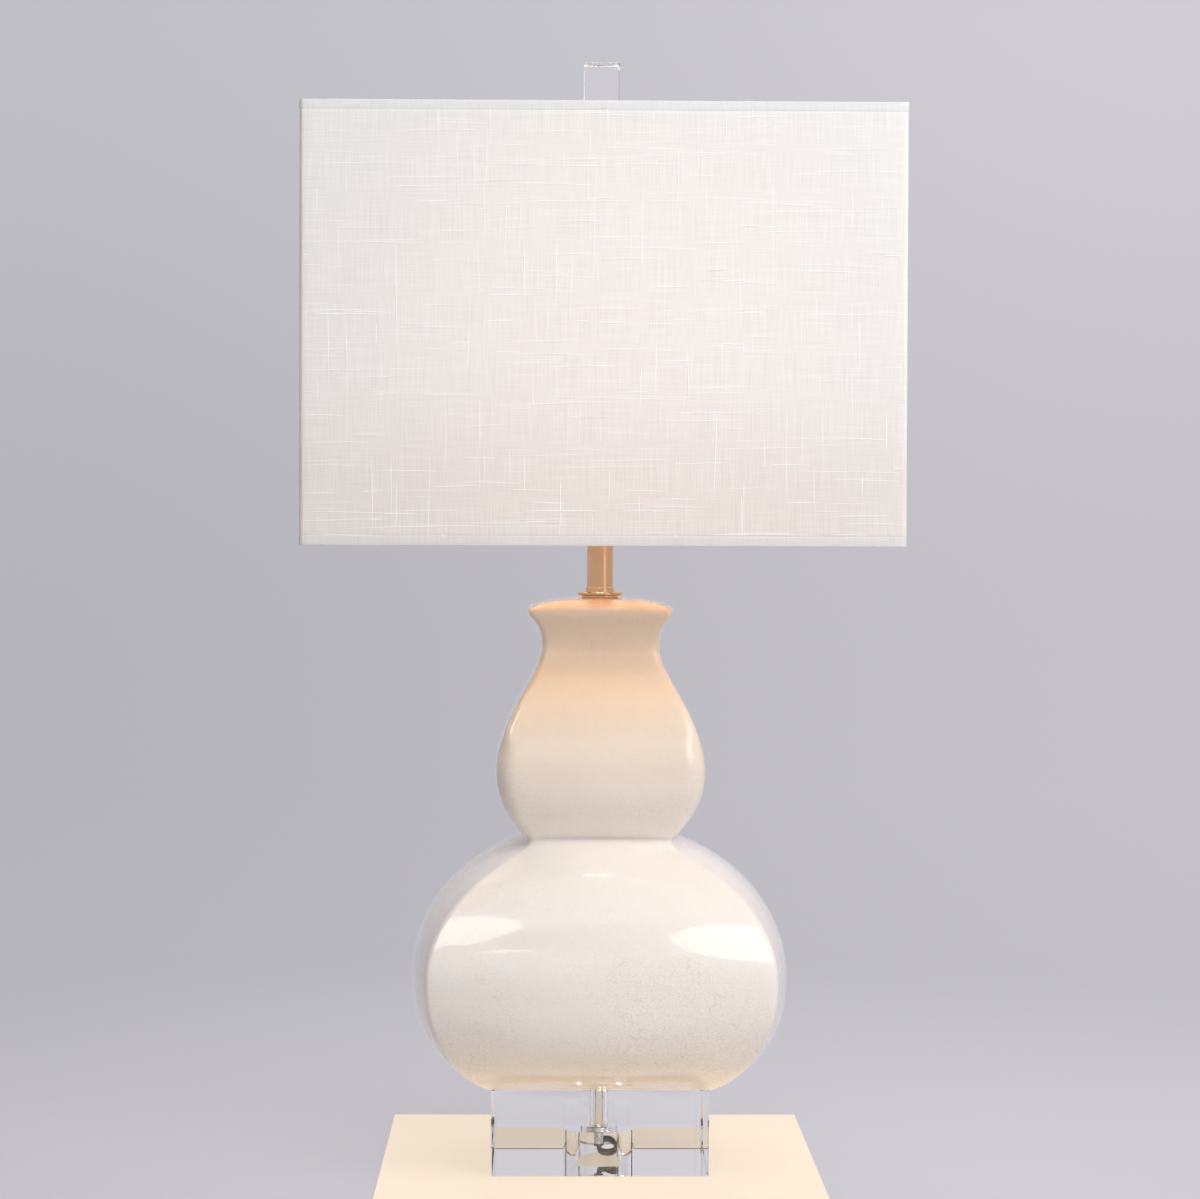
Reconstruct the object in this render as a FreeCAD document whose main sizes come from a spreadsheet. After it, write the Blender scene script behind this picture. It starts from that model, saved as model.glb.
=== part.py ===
import FreeCAD, Part
import math
import os

import Sketcher
from FreeCAD import Rotation, Vector
from types import SimpleNamespace

# Double gourd table lamp: a clear square block, a four-sided glazed double gourd, a short metal
# neck, and a rectangular shade that hangs on a harp. Millimetres, +Z up. The origin is the centre
# of the block's underside, -Y is the front that the lamp shows, and +X is its right.

SIZES = (
    ("block_width", 150, "clear base block, each side"),
    ("block_height", 60, "clear base block"),
    ("block_edge", 0.8, "bevel along the clear block's edges"),
    ("recess_width", 50, "round recess in the block's underside"),
    ("recess_height", 24, "depth of that recess"),
    ("fit_gap", 0.2, "clearance round a fixed piece in its hole"),
    ("turn_gap", 0.08, "clearance round a piece that turns or slides in its hole"),
    ("rest_gap", 0.3, "space under a piece that moves and rests on another"),
    ("washer_width", 26, "washer that clamps the tube in the block"),
    ("washer_thick", 2.2, "the same washer"),
    ("sleeve_width", 12.7, "bright tube in the block's bore"),
    ("sleeve_wall", 1.0, "bright tube"),
    ("pipe_width", 10.1, "threaded lamp pipe, 1/8 IP"),
    ("pipe_bore", 7.0, "threaded lamp pipe"),
    ("pipe_end", 11.5, "height of the pipe's lower end"),
    ("pipe_grip", 5.0, "length of the pipe inside the socket cap"),
    ("nut_width", 14.3, "hexagon nut, across flats"),
    ("nut_thick", 3.2, "hexagon nut"),
    ("cord_width", 5.0, "round cord"),
    ("channel_width", 8.0, "cord channel through the rear of the block"),
    ("channel_height", 9.0, "centre of the cord channel above the table"),
    ("channel_side", 4.0, "centre of the cord channel, to the right of the axis"),
    ("bushing_wall", 0.8, "wall of the plastic bushings"),
    ("bushing_flange", 1.2, "flange of the plastic bushings"),
    ("bushing_length", 9.0, "bushing inside its hole"),
    ("foot_corner", 76.0, "gourd at the foot, half its width at the corners"),
    ("foot_side", 75.6, "gourd at the foot, half its width at mid side"),
    ("belly_level", 139.5, "height of the belly's widest corners"),
    ("belly_corner", 117.2, "belly, half its width at the corners"),
    ("belly_side_level", 132.8, "height of the belly's widest sides"),
    ("belly_side", 131.5, "belly, half its width at mid side"),
    ("bulb_level", 278.5, "height of the upper gourd's widest corners"),
    ("bulb_corner", 68.8, "upper gourd, half its width at the corners"),
    ("bulb_side_level", 269.5, "height of the upper gourd's widest sides"),
    ("bulb_side", 72.1, "upper gourd, half its width at mid side"),
    ("waist_level", 228, "height of the gourd's waist"),
    ("throat_level", 345, "height where the gourd's neck begins"),
    ("throat_corner", 38.6, "gourd's neck, half its width at the corners"),
    ("throat_side", 40.0, "gourd's neck, half its width at mid side"),
    ("rim_level", 388, "height of the gourd's rim"),
    ("rim_flare", 10.0, "how far the rim stands out from the neck"),
    ("lid_rise", 8.7, "rise of the domed top above the rim"),
    ("lid_flat", 18, "half the flat in the middle of the domed top"),
    ("ridge_round", 5.0, "rounding of the four upright ridges"),
    ("gourd_wall", 7.0, "wall of the glazed body, measured level"),
    ("gourd_floor", 8.0, "floor and top of the glazed body"),
    ("seat_disc_width", 26, "small disc on the gourd's top"),
    ("seat_disc_thick", 1.8, "the same disc"),
    ("check_ring_width", 31.8, "wide disc under the neck tube"),
    ("check_ring_thick", 2.3, "the same disc"),
    ("collar_width", 20.3, "collar round the foot of the neck tube"),
    ("collar_height", 3.2, "the same collar"),
    ("neck_width", 18.5, "neck tube"),
    ("neck_height", 55, "neck tube"),
    ("neck_wall", 1.2, "neck tube and collar"),
    ("saddle_thick", 1.6, "harp saddle's strip"),
    ("saddle_strip", 12.7, "width of the harp saddle's strip"),
    ("saddle_reach", 31, "centre of each saddle post from the axis"),
    ("saddle_wing", 16, "height of the saddle's upturned ends"),
    ("post_width", 4.4, "saddle post and harp end"),
    ("post_height", 10, "saddle post above its shoulder"),
    ("shoulder_width", 7.4, "shoulder under each ferrule"),
    ("ferrule_wall", 1.4, "ferrule that locks the harp"),
    ("ferrule_height", 16, "the same ferrule"),
    ("harp_height", 254, "harp, saddle to top plate"),
    ("harp_reach", 57, "harp's greatest half width"),
    ("harp_wire", 3.2, "harp wire"),
    ("plate_width", 20, "harp's top plate"),
    ("plate_thick", 2.2, "harp's top plate"),
    ("rivet_width", 4.6, "swivel rivet in the top plate"),
    ("swivel_width", 14, "swivel's flange that carries the shade"),
    ("swivel_thick", 3.0, "the same flange"),
    ("stud_width", 6.35, "1/4-27 stud"),
    ("stud_height", 15.5, "stud above the swivel's flange"),
    ("cap_height", 17.5, "socket cap"),
    ("cap_wall", 0.8, "socket cap"),
    ("boss_width", 16, "socket cap's threaded boss"),
    ("boss_height", 5, "the same boss"),
    ("shell_width", 33, "socket shell"),
    ("shell_wall", 0.6, "socket shell"),
    ("shell_height", 40, "socket shell"),
    ("liner_wall", 0.7, "insulating liner in the socket"),
    ("core_height", 18, "socket's moulded inside"),
    ("screw_bore", 26.8, "screw shell, inside the thread"),
    ("screw_wall", 0.5, "screw shell"),
    ("screw_height", 18, "screw shell"),
    ("contact_width", 8, "centre contact"),
    ("contact_thick", 1.0, "centre contact"),
    ("stem_width", 3.2, "switch stem"),
    ("stem_length", 22, "switch stem outside the socket's core"),
    ("knob_width", 12, "switch knob"),
    ("knob_length", 12, "switch knob"),
    ("bulb_cap_height", 22, "bulb's screw cap"),
    ("bulb_tip_width", 9, "bulb's bottom contact"),
    ("bulb_tip_height", 2.2, "bulb's bottom contact"),
    ("glass_width", 60, "bulb's glass"),
    ("glass_neck", 27, "bulb's glass at its cap"),
    ("glass_height", 82, "bulb's glass above its cap"),
    ("glass_wall", 1.0, "bulb's glass"),
    ("shade_width", 406.4, "shade, left to right"),
    ("shade_depth", 254, "shade, front to back"),
    ("shade_height", 296.2, "shade"),
    ("shade_drop", 12.5, "shade's top edge above the ring that carries it"),
    ("shade_corner", 3.0, "rounding of the shade's upright corners"),
    ("linen_thick", 0.9, "shade's linen"),
    ("liner_thick", 0.5, "stiff liner under the linen"),
    ("frame_wire", 3.0, "shade frames"),
    ("frame_inset", 3.0, "frame wire from the shade's top or bottom edge"),
    ("ring_width", 24, "ring in the middle of the top frame"),
    ("ring_thick", 2.5, "the same ring"),
    ("ring_bore", 11, "the same ring"),
    ("finial_base_width", 12.7, "finial's metal base"),
    ("finial_base_height", 19.2, "finial's metal base"),
    ("finial_bore_depth", 13, "finial's threaded hole"),
    ("finial_width", 25.4, "clear block on top of the finial"),
    ("finial_height", 32.7, "the same block"),
    ("finial_edge", 0.5, "bevel along the finial block's edges"),
    ("coil_outer", 33, "cord coil, radius of its outer turn"),
    ("coil_pitch", 5.5, "from one turn of the coil to the next"),
    ("tie_thick", 0.8, "strap round the coil"),
    ("tie_width", 5, "strap round the coil"),
    ("plug_length", 25, "plug body"),
    ("plug_width", 25, "plug body"),
    ("plug_height", 17, "plug body"),
    ("boot_length", 20, "tapered boot where the cord enters the plug"),
    ("blade_length", 16, "plug blades"),
    ("blade_width", 6.35, "plug blades"),
    ("blade_thick", 1.5, "plug blades"),
    ("blade_spread", 12.7, "from one blade to the other"),
)

# Turns of the put-away coil, and how many layers they lie in.
COIL_TURNS = 8.75
COIL_LAYERS = 4
# Centre of the coil on the table, behind the lamp.
COIL_CENTRE = Vector(-28, 338, 0)
# Where the strap goes round the coil, in degrees round its centre: the turns lie level there.
TIE_ANGLE = -45
# Where the cord enters the plug's boot, along +X.
PLUG_ENTRY = Vector(32, 316, 8.5)

DOC = FreeCAD.newDocument("double_gourd_lamp")
SHEET = DOC.addObject("Spreadsheet::Sheet", "sizes")


class Size:
    """A length with the sheet formula that gives it, so that plain arithmetic makes both."""

    def __init__(self, value, formula):
        self.value = float(value)
        self.formula = formula

    def __add__(self, other):
        other = as_size(other)
        return Size(self.value + other.value, f"({self.formula} + {other.formula})")

    def __sub__(self, other):
        other = as_size(other)
        return Size(self.value - other.value, f"({self.formula} - {other.formula})")

    def __rsub__(self, other):
        return as_size(other) - self

    def __mul__(self, factor):
        factor = as_size(factor)
        return Size(self.value * factor.value, f"({self.formula} * {factor.formula})")

    def __truediv__(self, divisor):
        divisor = as_size(divisor)
        return Size(self.value / divisor.value, f"({self.formula} / {divisor.formula})")

    def __neg__(self):
        return Size(-self.value, f"(-{self.formula})")

    __radd__ = __add__
    __rmul__ = __mul__


def as_size(number):
    """A plain number as a size of its own."""
    return number if isinstance(number, Size) else Size(number, str(float(number)))


def fill_sheet():
    """Write every driving size to the sheet and return them by name."""
    names = {}
    for row, (name, value, meaning) in enumerate(SIZES, start=1):
        SHEET.set(f"A{row}", meaning)
        SHEET.set(f"B{row}", str(value))
        SHEET.setAlias(f"B{row}", name)
        names[name] = Size(value, f"sizes.{name}")
    DOC.recompute()
    return SimpleNamespace(**names)


S = fill_sheet()
PARTS = []


def bind(obj, path, size):
    """Tie one property of an object to its size."""
    obj.setExpression(path, as_size(size).formula)


def keep(obj, name, x=0, y=0, z=0):
    """Name a finished sub-part, seat it, and list it among the lamp's pieces."""
    obj.Label = name
    for path, size in zip(("Base.x", "Base.y", "Base.z"), (x, y, z)):
        bind(obj, f"Placement.{path}", size)
    PARTS.append(obj)
    return obj


# Levels, from the table up. Each seat follows from the pieces below it.
WASHER_SEAT = S.recess_height
SLEEVE_SEAT = WASHER_SEAT + S.washer_thick
GOURD_SEAT = S.block_height
LID_TOP = S.rim_level + S.lid_rise
DISC_SEAT = LID_TOP
CHECK_SEAT = DISC_SEAT + S.seat_disc_thick
COLLAR_SEAT = CHECK_SEAT + S.check_ring_thick
NECK_TOP = COLLAR_SEAT + S.collar_height + S.neck_height
CAP_SEAT = NECK_TOP + S.saddle_thick
SHELL_SEAT = CAP_SEAT + S.cap_height - 5
CORE_SEAT = SHELL_SEAT + 1.2
CORE_TOP = CORE_SEAT + S.core_height
BULB_SEAT = CORE_TOP + S.contact_thick + S.rest_gap
GLASS_SEAT = BULB_SEAT + S.bulb_tip_height + S.bulb_cap_height
SHOULDER_TOP = NECK_TOP + S.saddle_wing
POST_TOP = SHOULDER_TOP + S.post_height
PLATE_TOP = CAP_SEAT + S.harp_height
SWIVEL_SEAT = PLATE_TOP + S.turn_gap
RING_SEAT = SWIVEL_SEAT + S.swivel_thick + S.rest_gap
SHADE_TOP = RING_SEAT + S.shade_drop
SHADE_BOTTOM = SHADE_TOP - S.shade_height
FINIAL_SEAT = RING_SEAT + S.ring_thick + S.rest_gap
FINIAL_BLOCK_SEAT = FINIAL_SEAT + S.finial_base_height


# Sketches and features that several pieces share.


def origin_plane(body, role):
    """One of a body's own origin planes."""
    return next(item for item in body.Origin.OriginFeatures if item.Role == role)


def new_sketch(body, name, role="XY_Plane"):
    """An empty sketch on one of the body's origin planes."""
    sketch = body.newObject("Sketcher::SketchObject", name)
    sketch.AttachmentSupport = (origin_plane(body, role), [""])
    sketch.MapMode = "FlatFace"
    return sketch


def dimension(sketch, kind, *where, size):
    """One driving dimension, tied to its size."""
    index = sketch.addConstraint(Sketcher.Constraint(kind, *where, as_size(size).value))
    bind(sketch, f"Constraints[{index}]", size)


def add_polygon(sketch, points):
    """A closed outline; each point is (across, up), and a plain 0 puts it on that axis."""
    first = sketch.GeometryCount
    corners = [Vector(as_size(x).value, as_size(y).value, 0) for x, y in points]
    for start, end in zip(corners, corners[1:] + corners[:1]):
        sketch.addGeometry(Part.LineSegment(start, end), False)
    for index in range(len(points)):
        following = first + (index + 1) % len(points)
        sketch.addConstraint(Sketcher.Constraint("Coincident", first + index, 2, following, 1))
    for index, (x, y) in enumerate(points):
        for kind, axis, size in (("DistanceX", -2, x), ("DistanceY", -1, y)):
            if isinstance(size, (int, float)) and size == 0:
                sketch.addConstraint(
                    Sketcher.Constraint("PointOnObject", first + index, 1, axis)
                )
            else:
                dimension(sketch, kind, -1, 1, first + index, 1, size=size)


def add_rectangle(sketch, width, depth):
    """A rectangle centred on the sketch's origin."""
    first = sketch.GeometryCount
    x = as_size(width).value / 2
    y = as_size(depth).value / 2
    corners = [Vector(-x, -y, 0), Vector(x, -y, 0), Vector(x, y, 0), Vector(-x, y, 0)]
    for start, end in zip(corners, corners[1:] + corners[:1]):
        sketch.addGeometry(Part.LineSegment(start, end), False)
    for index in range(4):
        following = first + (index + 1) % 4
        sketch.addConstraint(Sketcher.Constraint("Coincident", first + index, 2, following, 1))
    for index, kind in enumerate(("Horizontal", "Vertical", "Horizontal", "Vertical")):
        sketch.addConstraint(Sketcher.Constraint(kind, first + index))
    sketch.addConstraint(Sketcher.Constraint("Symmetric", first, 1, first + 2, 1, -1, 1))
    dimension(sketch, "DistanceX", first, 1, first, 2, size=width)
    dimension(sketch, "DistanceY", first + 1, 1, first + 1, 2, size=depth)


def add_circle(sketch, radius, x=0, y=0):
    """A circle, centred on the origin or at a given place."""
    centre = Vector(as_size(x).value, as_size(y).value, 0)
    circle = sketch.addGeometry(
        Part.Circle(centre, Vector(0, 0, 1), as_size(radius).value), False
    )
    if centre.Length == 0:
        sketch.addConstraint(Sketcher.Constraint("Coincident", circle, 3, -1, 1))
    else:
        dimension(sketch, "DistanceX", -1, 1, circle, 3, size=x)
        dimension(sketch, "DistanceY", -1, 1, circle, 3, size=y)
    dimension(sketch, "Radius", circle, size=radius)


def add_pad(body, sketch, height):
    """Extrude a sketch upwards."""
    pad = body.newObject("PartDesign::Pad", sketch.Name + "_pad")
    pad.Profile = sketch
    bind(pad, "Length", height)
    sketch.Visibility = False
    DOC.recompute()
    return pad


def add_pocket(body, sketch, depth, reverse=True):
    """Cut a sketch into the body, away from the sketch's plane, and prove that it cut."""
    before = body.Shape.Volume
    pocket = body.newObject("PartDesign::Pocket", sketch.Name + "_pocket")
    pocket.Profile = sketch
    pocket.Reversed = reverse
    bind(pocket, "Length", depth)
    DOC.recompute()
    if not body.Shape.Volume < before - 1:
        raise RuntimeError(f"{pocket.Name} cuts nothing")
    return pocket


def edge_names(shape, wanted):
    """Names of the edges that a test picks out."""
    return [f"Edge{i}" for i, edge in enumerate(shape.Edges, start=1) if wanted(edge)]


def upright(edge):
    """Whether an edge runs straight up."""
    ends = [vertex.Point for vertex in edge.Vertexes]
    return len(ends) == 2 and (ends[0] - ends[1]).cross(Vector(0, 0, 1)).Length < 1e-6


def add_bevel(body, base, kind, wanted, size):
    """Chamfer or Fillet the picked edges of a feature."""
    bevel = body.newObject(f"PartDesign::{kind}", f"{base.Name}_{kind.lower()}")
    bevel.Base = (base, edge_names(base.Shape, wanted))
    bind(bevel, "Size" if kind == "Chamfer" else "Radius", size)
    DOC.recompute()
    return bevel


def turned_body(name, outline):
    """A body turned about the lamp's axis."""
    body = DOC.addObject("PartDesign::Body", name)
    sketch = new_sketch(body, f"{name}_outline", "XZ_Plane")
    add_polygon(sketch, outline)
    turn = body.newObject("PartDesign::Revolution", f"{name}_turn")
    turn.Profile = sketch
    turn.ReferenceAxis = (sketch, ["V_Axis"])
    turn.Angle = 360
    DOC.recompute()
    return body


def turned(name, seat, outline):
    """A finished turned piece; its outline's heights count from its seat."""
    return keep(turned_body(name, outline), name, z=seat)


def ring_outline(outer, bore, height, edge):
    """Section of a ring with bevelled outer edges."""
    outer = as_size(outer) / 2
    bore = as_size(bore) / 2
    height = as_size(height)
    return [
        (bore, 0),
        (outer - edge, 0),
        (outer, as_size(edge)),
        (outer, height - edge),
        (outer - edge, height),
        (bore, height),
    ]


def cylinder(name, radius, height, turn=None):
    """A plain cylinder along +Z, or along another axis."""
    item = DOC.addObject("Part::Cylinder", name)
    bind(item, "Radius", radius)
    bind(item, "Height", height)
    if turn:
        item.Placement.Rotation = turn
    return item


def box(name, length, width, height):
    """A box whose centre line runs along X from the origin."""
    item = DOC.addObject("Part::Box", name)
    bind(item, "Length", length)
    bind(item, "Width", width)
    bind(item, "Height", height)
    return item


def move(item, x=0, y=0, z=0):
    """Place a piece of a piece."""
    for path, size in zip(("Base.x", "Base.y", "Base.z"), (x, y, z)):
        bind(item, f"Placement.{path}", size)
    return item


def cut(name, base, tool):
    """One shape less another."""
    result = DOC.addObject("Part::Cut", name)
    result.Base = base
    result.Tool = tool
    return result


def fuse(name, shapes):
    """Several shapes made one."""
    result = DOC.addObject("Part::MultiFuse", name)
    result.Shapes = shapes
    return result


def feature(name, shape):
    """A piece whose shape is worked out in code."""
    item = DOC.addObject("Part::Feature", name)
    item.Shape = shape
    return keep(item, name)


# Paths and tubes.


def rounded_path(points):
    """Straight runs joined by arcs, each as large as its two runs allow, and the arcs' radii."""
    edges = []
    radii = []
    start = points[0]
    for before, corner, after in zip(points, points[1:], points[2:]):
        arriving = (corner - before).normalize()
        leaving = (after - corner).normalize()
        half_turn = arriving.getAngle(leaving) / 2
        reach = 0.45 * min(before.distanceToPoint(corner), corner.distanceToPoint(after))
        radius = reach / math.tan(half_turn)
        middle = corner + (leaving - arriving).normalize() * radius * (
            1 / math.cos(half_turn) - 1
        )
        arc_start = corner - arriving * reach
        arc_end = corner + leaving * reach
        edges.append(Part.LineSegment(start, arc_start).toShape())
        edges.append(Part.Arc(arc_start, middle, arc_end).toShape())
        radii.append(radius)
        start = arc_end
    edges.append(Part.LineSegment(start, points[-1]).toShape())
    return edges, radii


def arc_from(start, tangent, end):
    """Middle point of the arc that leaves a start along a tangent and reaches an end."""
    chord = end - start
    along = Vector(chord).normalize()
    aside = tangent - along * tangent.dot(along)
    angle = tangent.getAngle(along)
    return start + chord / 2 + aside.normalize() * chord.Length / 2 * math.tan(angle / 2)


def biarc(start, start_tangent, end, end_tangent):
    """Two arcs that join two points along their tangents."""
    span = end - start
    both = start_tangent + end_tangent
    spread = 2 * (1 - start_tangent.dot(end_tangent))
    along = span.dot(both)
    reach = (math.sqrt(along**2 + spread * span.dot(span)) - along) / spread
    joint = (start + end + (start_tangent - end_tangent) * reach) / 2
    first = Part.Arc(start, arc_from(start, start_tangent, joint), joint)
    second = Part.Arc(joint, arc_from(end, end_tangent * -1, joint), end)
    return [first.toShape(), second.toShape()]


def tube_along(edges, width):
    """A solid round tube along a path, checked against its section times its length."""
    wire = Part.Wire(edges)
    first = wire.OrderedEdges[0]
    heading = first.tangentAt(first.FirstParameter)
    section = Part.Wire([Part.Circle(edges[0].Vertexes[0].Point, heading, width / 2).toShape()])
    solid = wire.makePipeShell([section], True, False)
    if solid.Volume < 0:
        solid.reverse()
    expected = math.pi * width**2 / 4 * wire.Length
    if abs(solid.Volume - expected) > 0.02 * expected:
        raise RuntimeError(f"a tube of {wire.Length:.0f} mm has the wrong volume")
    return solid


# Base.


def build_block():
    """Clear square block: recess and washer seat below, bore above, cord channel to the rear."""
    body = DOC.addObject("PartDesign::Body", "base_block")
    outline = new_sketch(body, "block_outline")
    add_rectangle(outline, S.block_width, S.block_width)
    pad = add_pad(body, outline, S.block_height)
    add_bevel(body, pad, "Chamfer", lambda edge: True, S.block_edge)
    for name, width, depth in (
        ("recess", S.recess_width, S.recess_height),
        ("washer_seat", S.washer_width + S.fit_gap * 2, SLEEVE_SEAT),
        ("bore", S.sleeve_width + S.fit_gap * 2, S.block_height + 1),
    ):
        sketch = new_sketch(body, name)
        add_circle(sketch, width / 2)
        add_pocket(body, sketch, depth)
    channel = new_sketch(body, "channel", "XZ_Plane")
    add_circle(channel, S.channel_width / 2, S.channel_side, S.channel_height)
    add_pocket(body, channel, S.block_width / 2 + 1, reverse=False)
    keep(body, "base_block")


def build_base_stack():
    """Bright tube, washer, nut, threaded pipe and the two cord bushings."""
    turned(
        "base_sleeve",
        SLEEVE_SEAT,
        ring_outline(
            S.sleeve_width,
            S.sleeve_width - S.sleeve_wall * 2,
            GOURD_SEAT - SLEEVE_SEAT,
            0.2,
        ),
    )
    pipe_hole = S.pipe_width + S.fit_gap
    turned(
        "base_washer",
        WASHER_SEAT,
        ring_outline(S.washer_width, pipe_hole, S.washer_thick, 0.3),
    )
    nut = DOC.addObject("Part::Prism", "nut_hexagon")
    nut.Polygon = 6
    bind(nut, "Circumradius", S.nut_width / 2 / math.cos(math.pi / 6))
    bind(nut, "Height", S.nut_thick)
    hole = cylinder("nut_hole", pipe_hole / 2, S.nut_thick)
    keep(cut("base_nut", nut, hole), "base_nut", z=WASHER_SEAT - S.nut_thick)
    turned(
        "threaded_pipe",
        S.pipe_end,
        ring_outline(S.pipe_width, S.pipe_bore, CAP_SEAT + S.pipe_grip - S.pipe_end, 0.4),
    )
    cord_hole = S.cord_width + S.fit_gap * 2
    sleeve = S.pipe_bore - S.fit_gap
    turned(
        "pipe_bushing",
        S.pipe_end - S.bushing_flange,
        [
            (cord_hole / 2, 0),
            (S.pipe_width / 2, 0),
            (S.pipe_width / 2, S.bushing_flange),
            (sleeve / 2, S.bushing_flange),
            (sleeve / 2, S.bushing_flange + S.bushing_length),
            (cord_hole / 2, S.bushing_flange + S.bushing_length),
        ],
    )
    plug = S.channel_width - S.fit_gap
    bushing = fuse(
        "rear_bushing_body",
        [
            cylinder("rear_bushing_barrel", plug / 2, S.bushing_length),
            move(
                cylinder("rear_bushing_flange", plug / 2 + S.bushing_wall * 2, S.bushing_flange),
                z=S.bushing_length,
            ),
        ],
    )
    bore = cylinder("rear_bushing_bore", cord_hole / 2, S.bushing_length + S.bushing_flange)
    rear = cut("rear_bushing", bushing, bore)
    rear.Placement.Rotation = Rotation(Vector(1, 0, 0), -90)
    keep(
        rear,
        "rear_bushing",
        x=S.channel_side,
        y=S.block_width / 2 - S.bushing_length,
        z=S.channel_height,
    )


# Glazed double gourd.


def dome(level, middle, half, above, above_power, below, below_power):
    """Half width of a rounded swelling at a level: a superellipse with two unlike halves."""
    reach, power = (above, above_power) if level > middle else (below, below_power)
    away = min(abs(level - middle) / reach, 1)
    return half * (1 - away**power) ** (1 / power)


def blend_max(one, other, softness):
    """The larger of two widths, with the crease between them filled."""
    return (one + other) / 2 + math.sqrt(((one - other) / 2) ** 2 + softness**2)


def foot_reach(level, middle, half, foot, power):
    """How far down the belly's curve runs, so that it meets the foot's width."""
    return (middle - level) / (1 - (foot / half) ** power) ** (1 / power)


def corner_width(level):
    """Half width of the gourd across its upright ridges."""
    middle = S.belly_level.value
    belly = S.belly_corner.value
    below = foot_reach(GOURD_SEAT.value, middle, belly, S.foot_corner.value, 2.27)
    waist_rise = S.bulb_level.value - middle
    low = dome(level, middle, belly, 0.645 * waist_rise, 2, below, 2.27)
    high = dome(
        level,
        S.bulb_level.value,
        S.bulb_corner.value,
        0.85 * (S.rim_level.value - S.bulb_level.value),
        1.51,
        0.471 * waist_rise,
        2,
    )
    width = blend_max(low, high, 12.4)
    return widened_by_rim(level, width, S.throat_corner.value, 5.4, S.bulb_level.value)


def side_width(level):
    """Half width of the gourd at the middle of its four bowed sides."""
    middle = S.belly_side_level.value
    belly = S.belly_side.value
    below = foot_reach(GOURD_SEAT.value, middle, belly, S.foot_side.value, 2.75)
    waist_rise = S.bulb_side_level.value - middle
    low = dome(level, middle, belly, 0.765 * waist_rise, 2, below, 2.75)
    high = dome(
        level,
        S.bulb_side_level.value,
        S.bulb_side.value,
        0.762 * (S.rim_level.value - S.bulb_side_level.value),
        1.85,
        0.3804 * waist_rise,
        2,
    )
    width = blend_max(low, high, 0.1)
    return widened_by_rim(level, width, S.throat_side.value, 8.6, S.bulb_side_level.value)


def widened_by_rim(level, width, throat, softness, bulb_level):
    """Hold the neck open and flare it out to the rim."""
    if level <= bulb_level:
        return math.hypot(width / 2, softness) + width / 2
    rim = S.rim_level.value - 3
    rise = 0.75 * (rim - bulb_level)
    climb = max(level - bulb_level - rise, 0) / (rim - bulb_level - rise)
    return blend_max(width, throat + S.rim_flare.value * min(climb, 1) ** 3, softness)


def bowed_square(corner, side, rounding, level):
    """A square section with bowed sides and rounded ridges, as a closed wire."""
    bow = max(side - corner, 0.004 * corner)
    radius = (corner**2 + bow**2) / (2 * bow)
    centre = corner + bow - radius
    ridge = (centre + math.sqrt(2 * (radius - rounding) ** 2 - centre**2)) / 2
    touch = Vector(ridge - centre, ridge, 0).normalize() * radius + Vector(centre, 0, 0)
    tip = ridge + rounding / math.sqrt(2)
    edges = []
    for quarter in range(4):
        turn = Rotation(Vector(0, 0, 1), 90 * quarter)
        lift = Vector(0, 0, level)
        low = turn.multVec(Vector(touch.x, -touch.y, 0)) + lift
        middle = turn.multVec(Vector(corner + bow, 0, 0)) + lift
        high = turn.multVec(touch) + lift
        corner_tip = turn.multVec(Vector(tip, tip, 0)) + lift
        following = turn.multVec(Vector(touch.y, touch.x, 0)) + lift
        edges.append(Part.Arc(low, middle, high).toShape())
        edges.append(Part.Arc(high, corner_tip, following).toShape())
    return Part.Wire(edges)


def gourd_levels(bottom, top, count):
    """Levels of the sections, closer together round the waist, the foot and the rim."""
    waist = S.waist_level.value
    stretches = ((bottom, waist, count), (waist, top, count))
    levels = []
    for low, high, steps in stretches:
        for step in range(steps):
            levels.append(low + (high - low) * (1 - math.cos(math.pi * step / steps)) / 2)
    return levels + [top]


def build_gourd():
    """Hollow four-sided double gourd with a flared rim and a domed, glazed top."""
    foot = GOURD_SEAT.value
    rim = S.rim_level.value
    wall = S.gourd_wall.value
    rounding = S.ridge_round.value
    outer = Part.makeLoft(
        [
            bowed_square(corner_width(z), side_width(z), rounding, z)
            for z in gourd_levels(foot, rim, 14)
        ],
        True,
        False,
    )
    rim_corner = corner_width(rim)
    rim_side = side_width(rim)
    flat = S.lid_flat.value
    lid = []
    last_angle = math.acos(flat / rim_corner)
    for step in range(6):
        angle = step / 5 * last_angle
        shrink = math.cos(angle)
        level = rim + S.lid_rise.value * math.sin(angle) / math.sin(last_angle)
        bow = 0.06 * rim_corner * math.sin(angle)
        lid.append(
            bowed_square(
                rim_corner * shrink - bow,
                rim_side * shrink + bow,
                rounding * shrink,
                level,
            )
        )
    outer = outer.fuse(Part.makeLoft(lid, True, False))
    inner = Part.makeLoft(
        [
            bowed_square(corner_width(z) - wall, side_width(z) - wall, rounding / 2, z)
            for z in gourd_levels(foot + S.gourd_floor.value, rim - 1, 12)
        ],
        True,
        False,
    )
    hole = (S.pipe_width.value + 2 * S.fit_gap.value) / 2
    shaft = Part.makeCylinder(hole, LID_TOP.value - foot + 20, Vector(0, 0, foot - 10))
    shell = outer.cut(inner).cut(shaft)
    # The mouldings that the body is luted from: belly, upper gourd and neck.
    joints = (foot - 10, S.waist_level.value, S.throat_level.value, LID_TOP.value + 10)
    reach = 2 * S.belly_side.value
    mouldings = []
    for low, high in zip(joints, joints[1:]):
        corner = Vector(-reach, -reach, low)
        slab = Part.makeBox(2 * reach, 2 * reach, high - low, corner)
        mouldings.extend(shell.common(slab).Solids)
    feature("gourd_body", Part.makeCompound(mouldings))


# Neck, socket and bulb.


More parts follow.
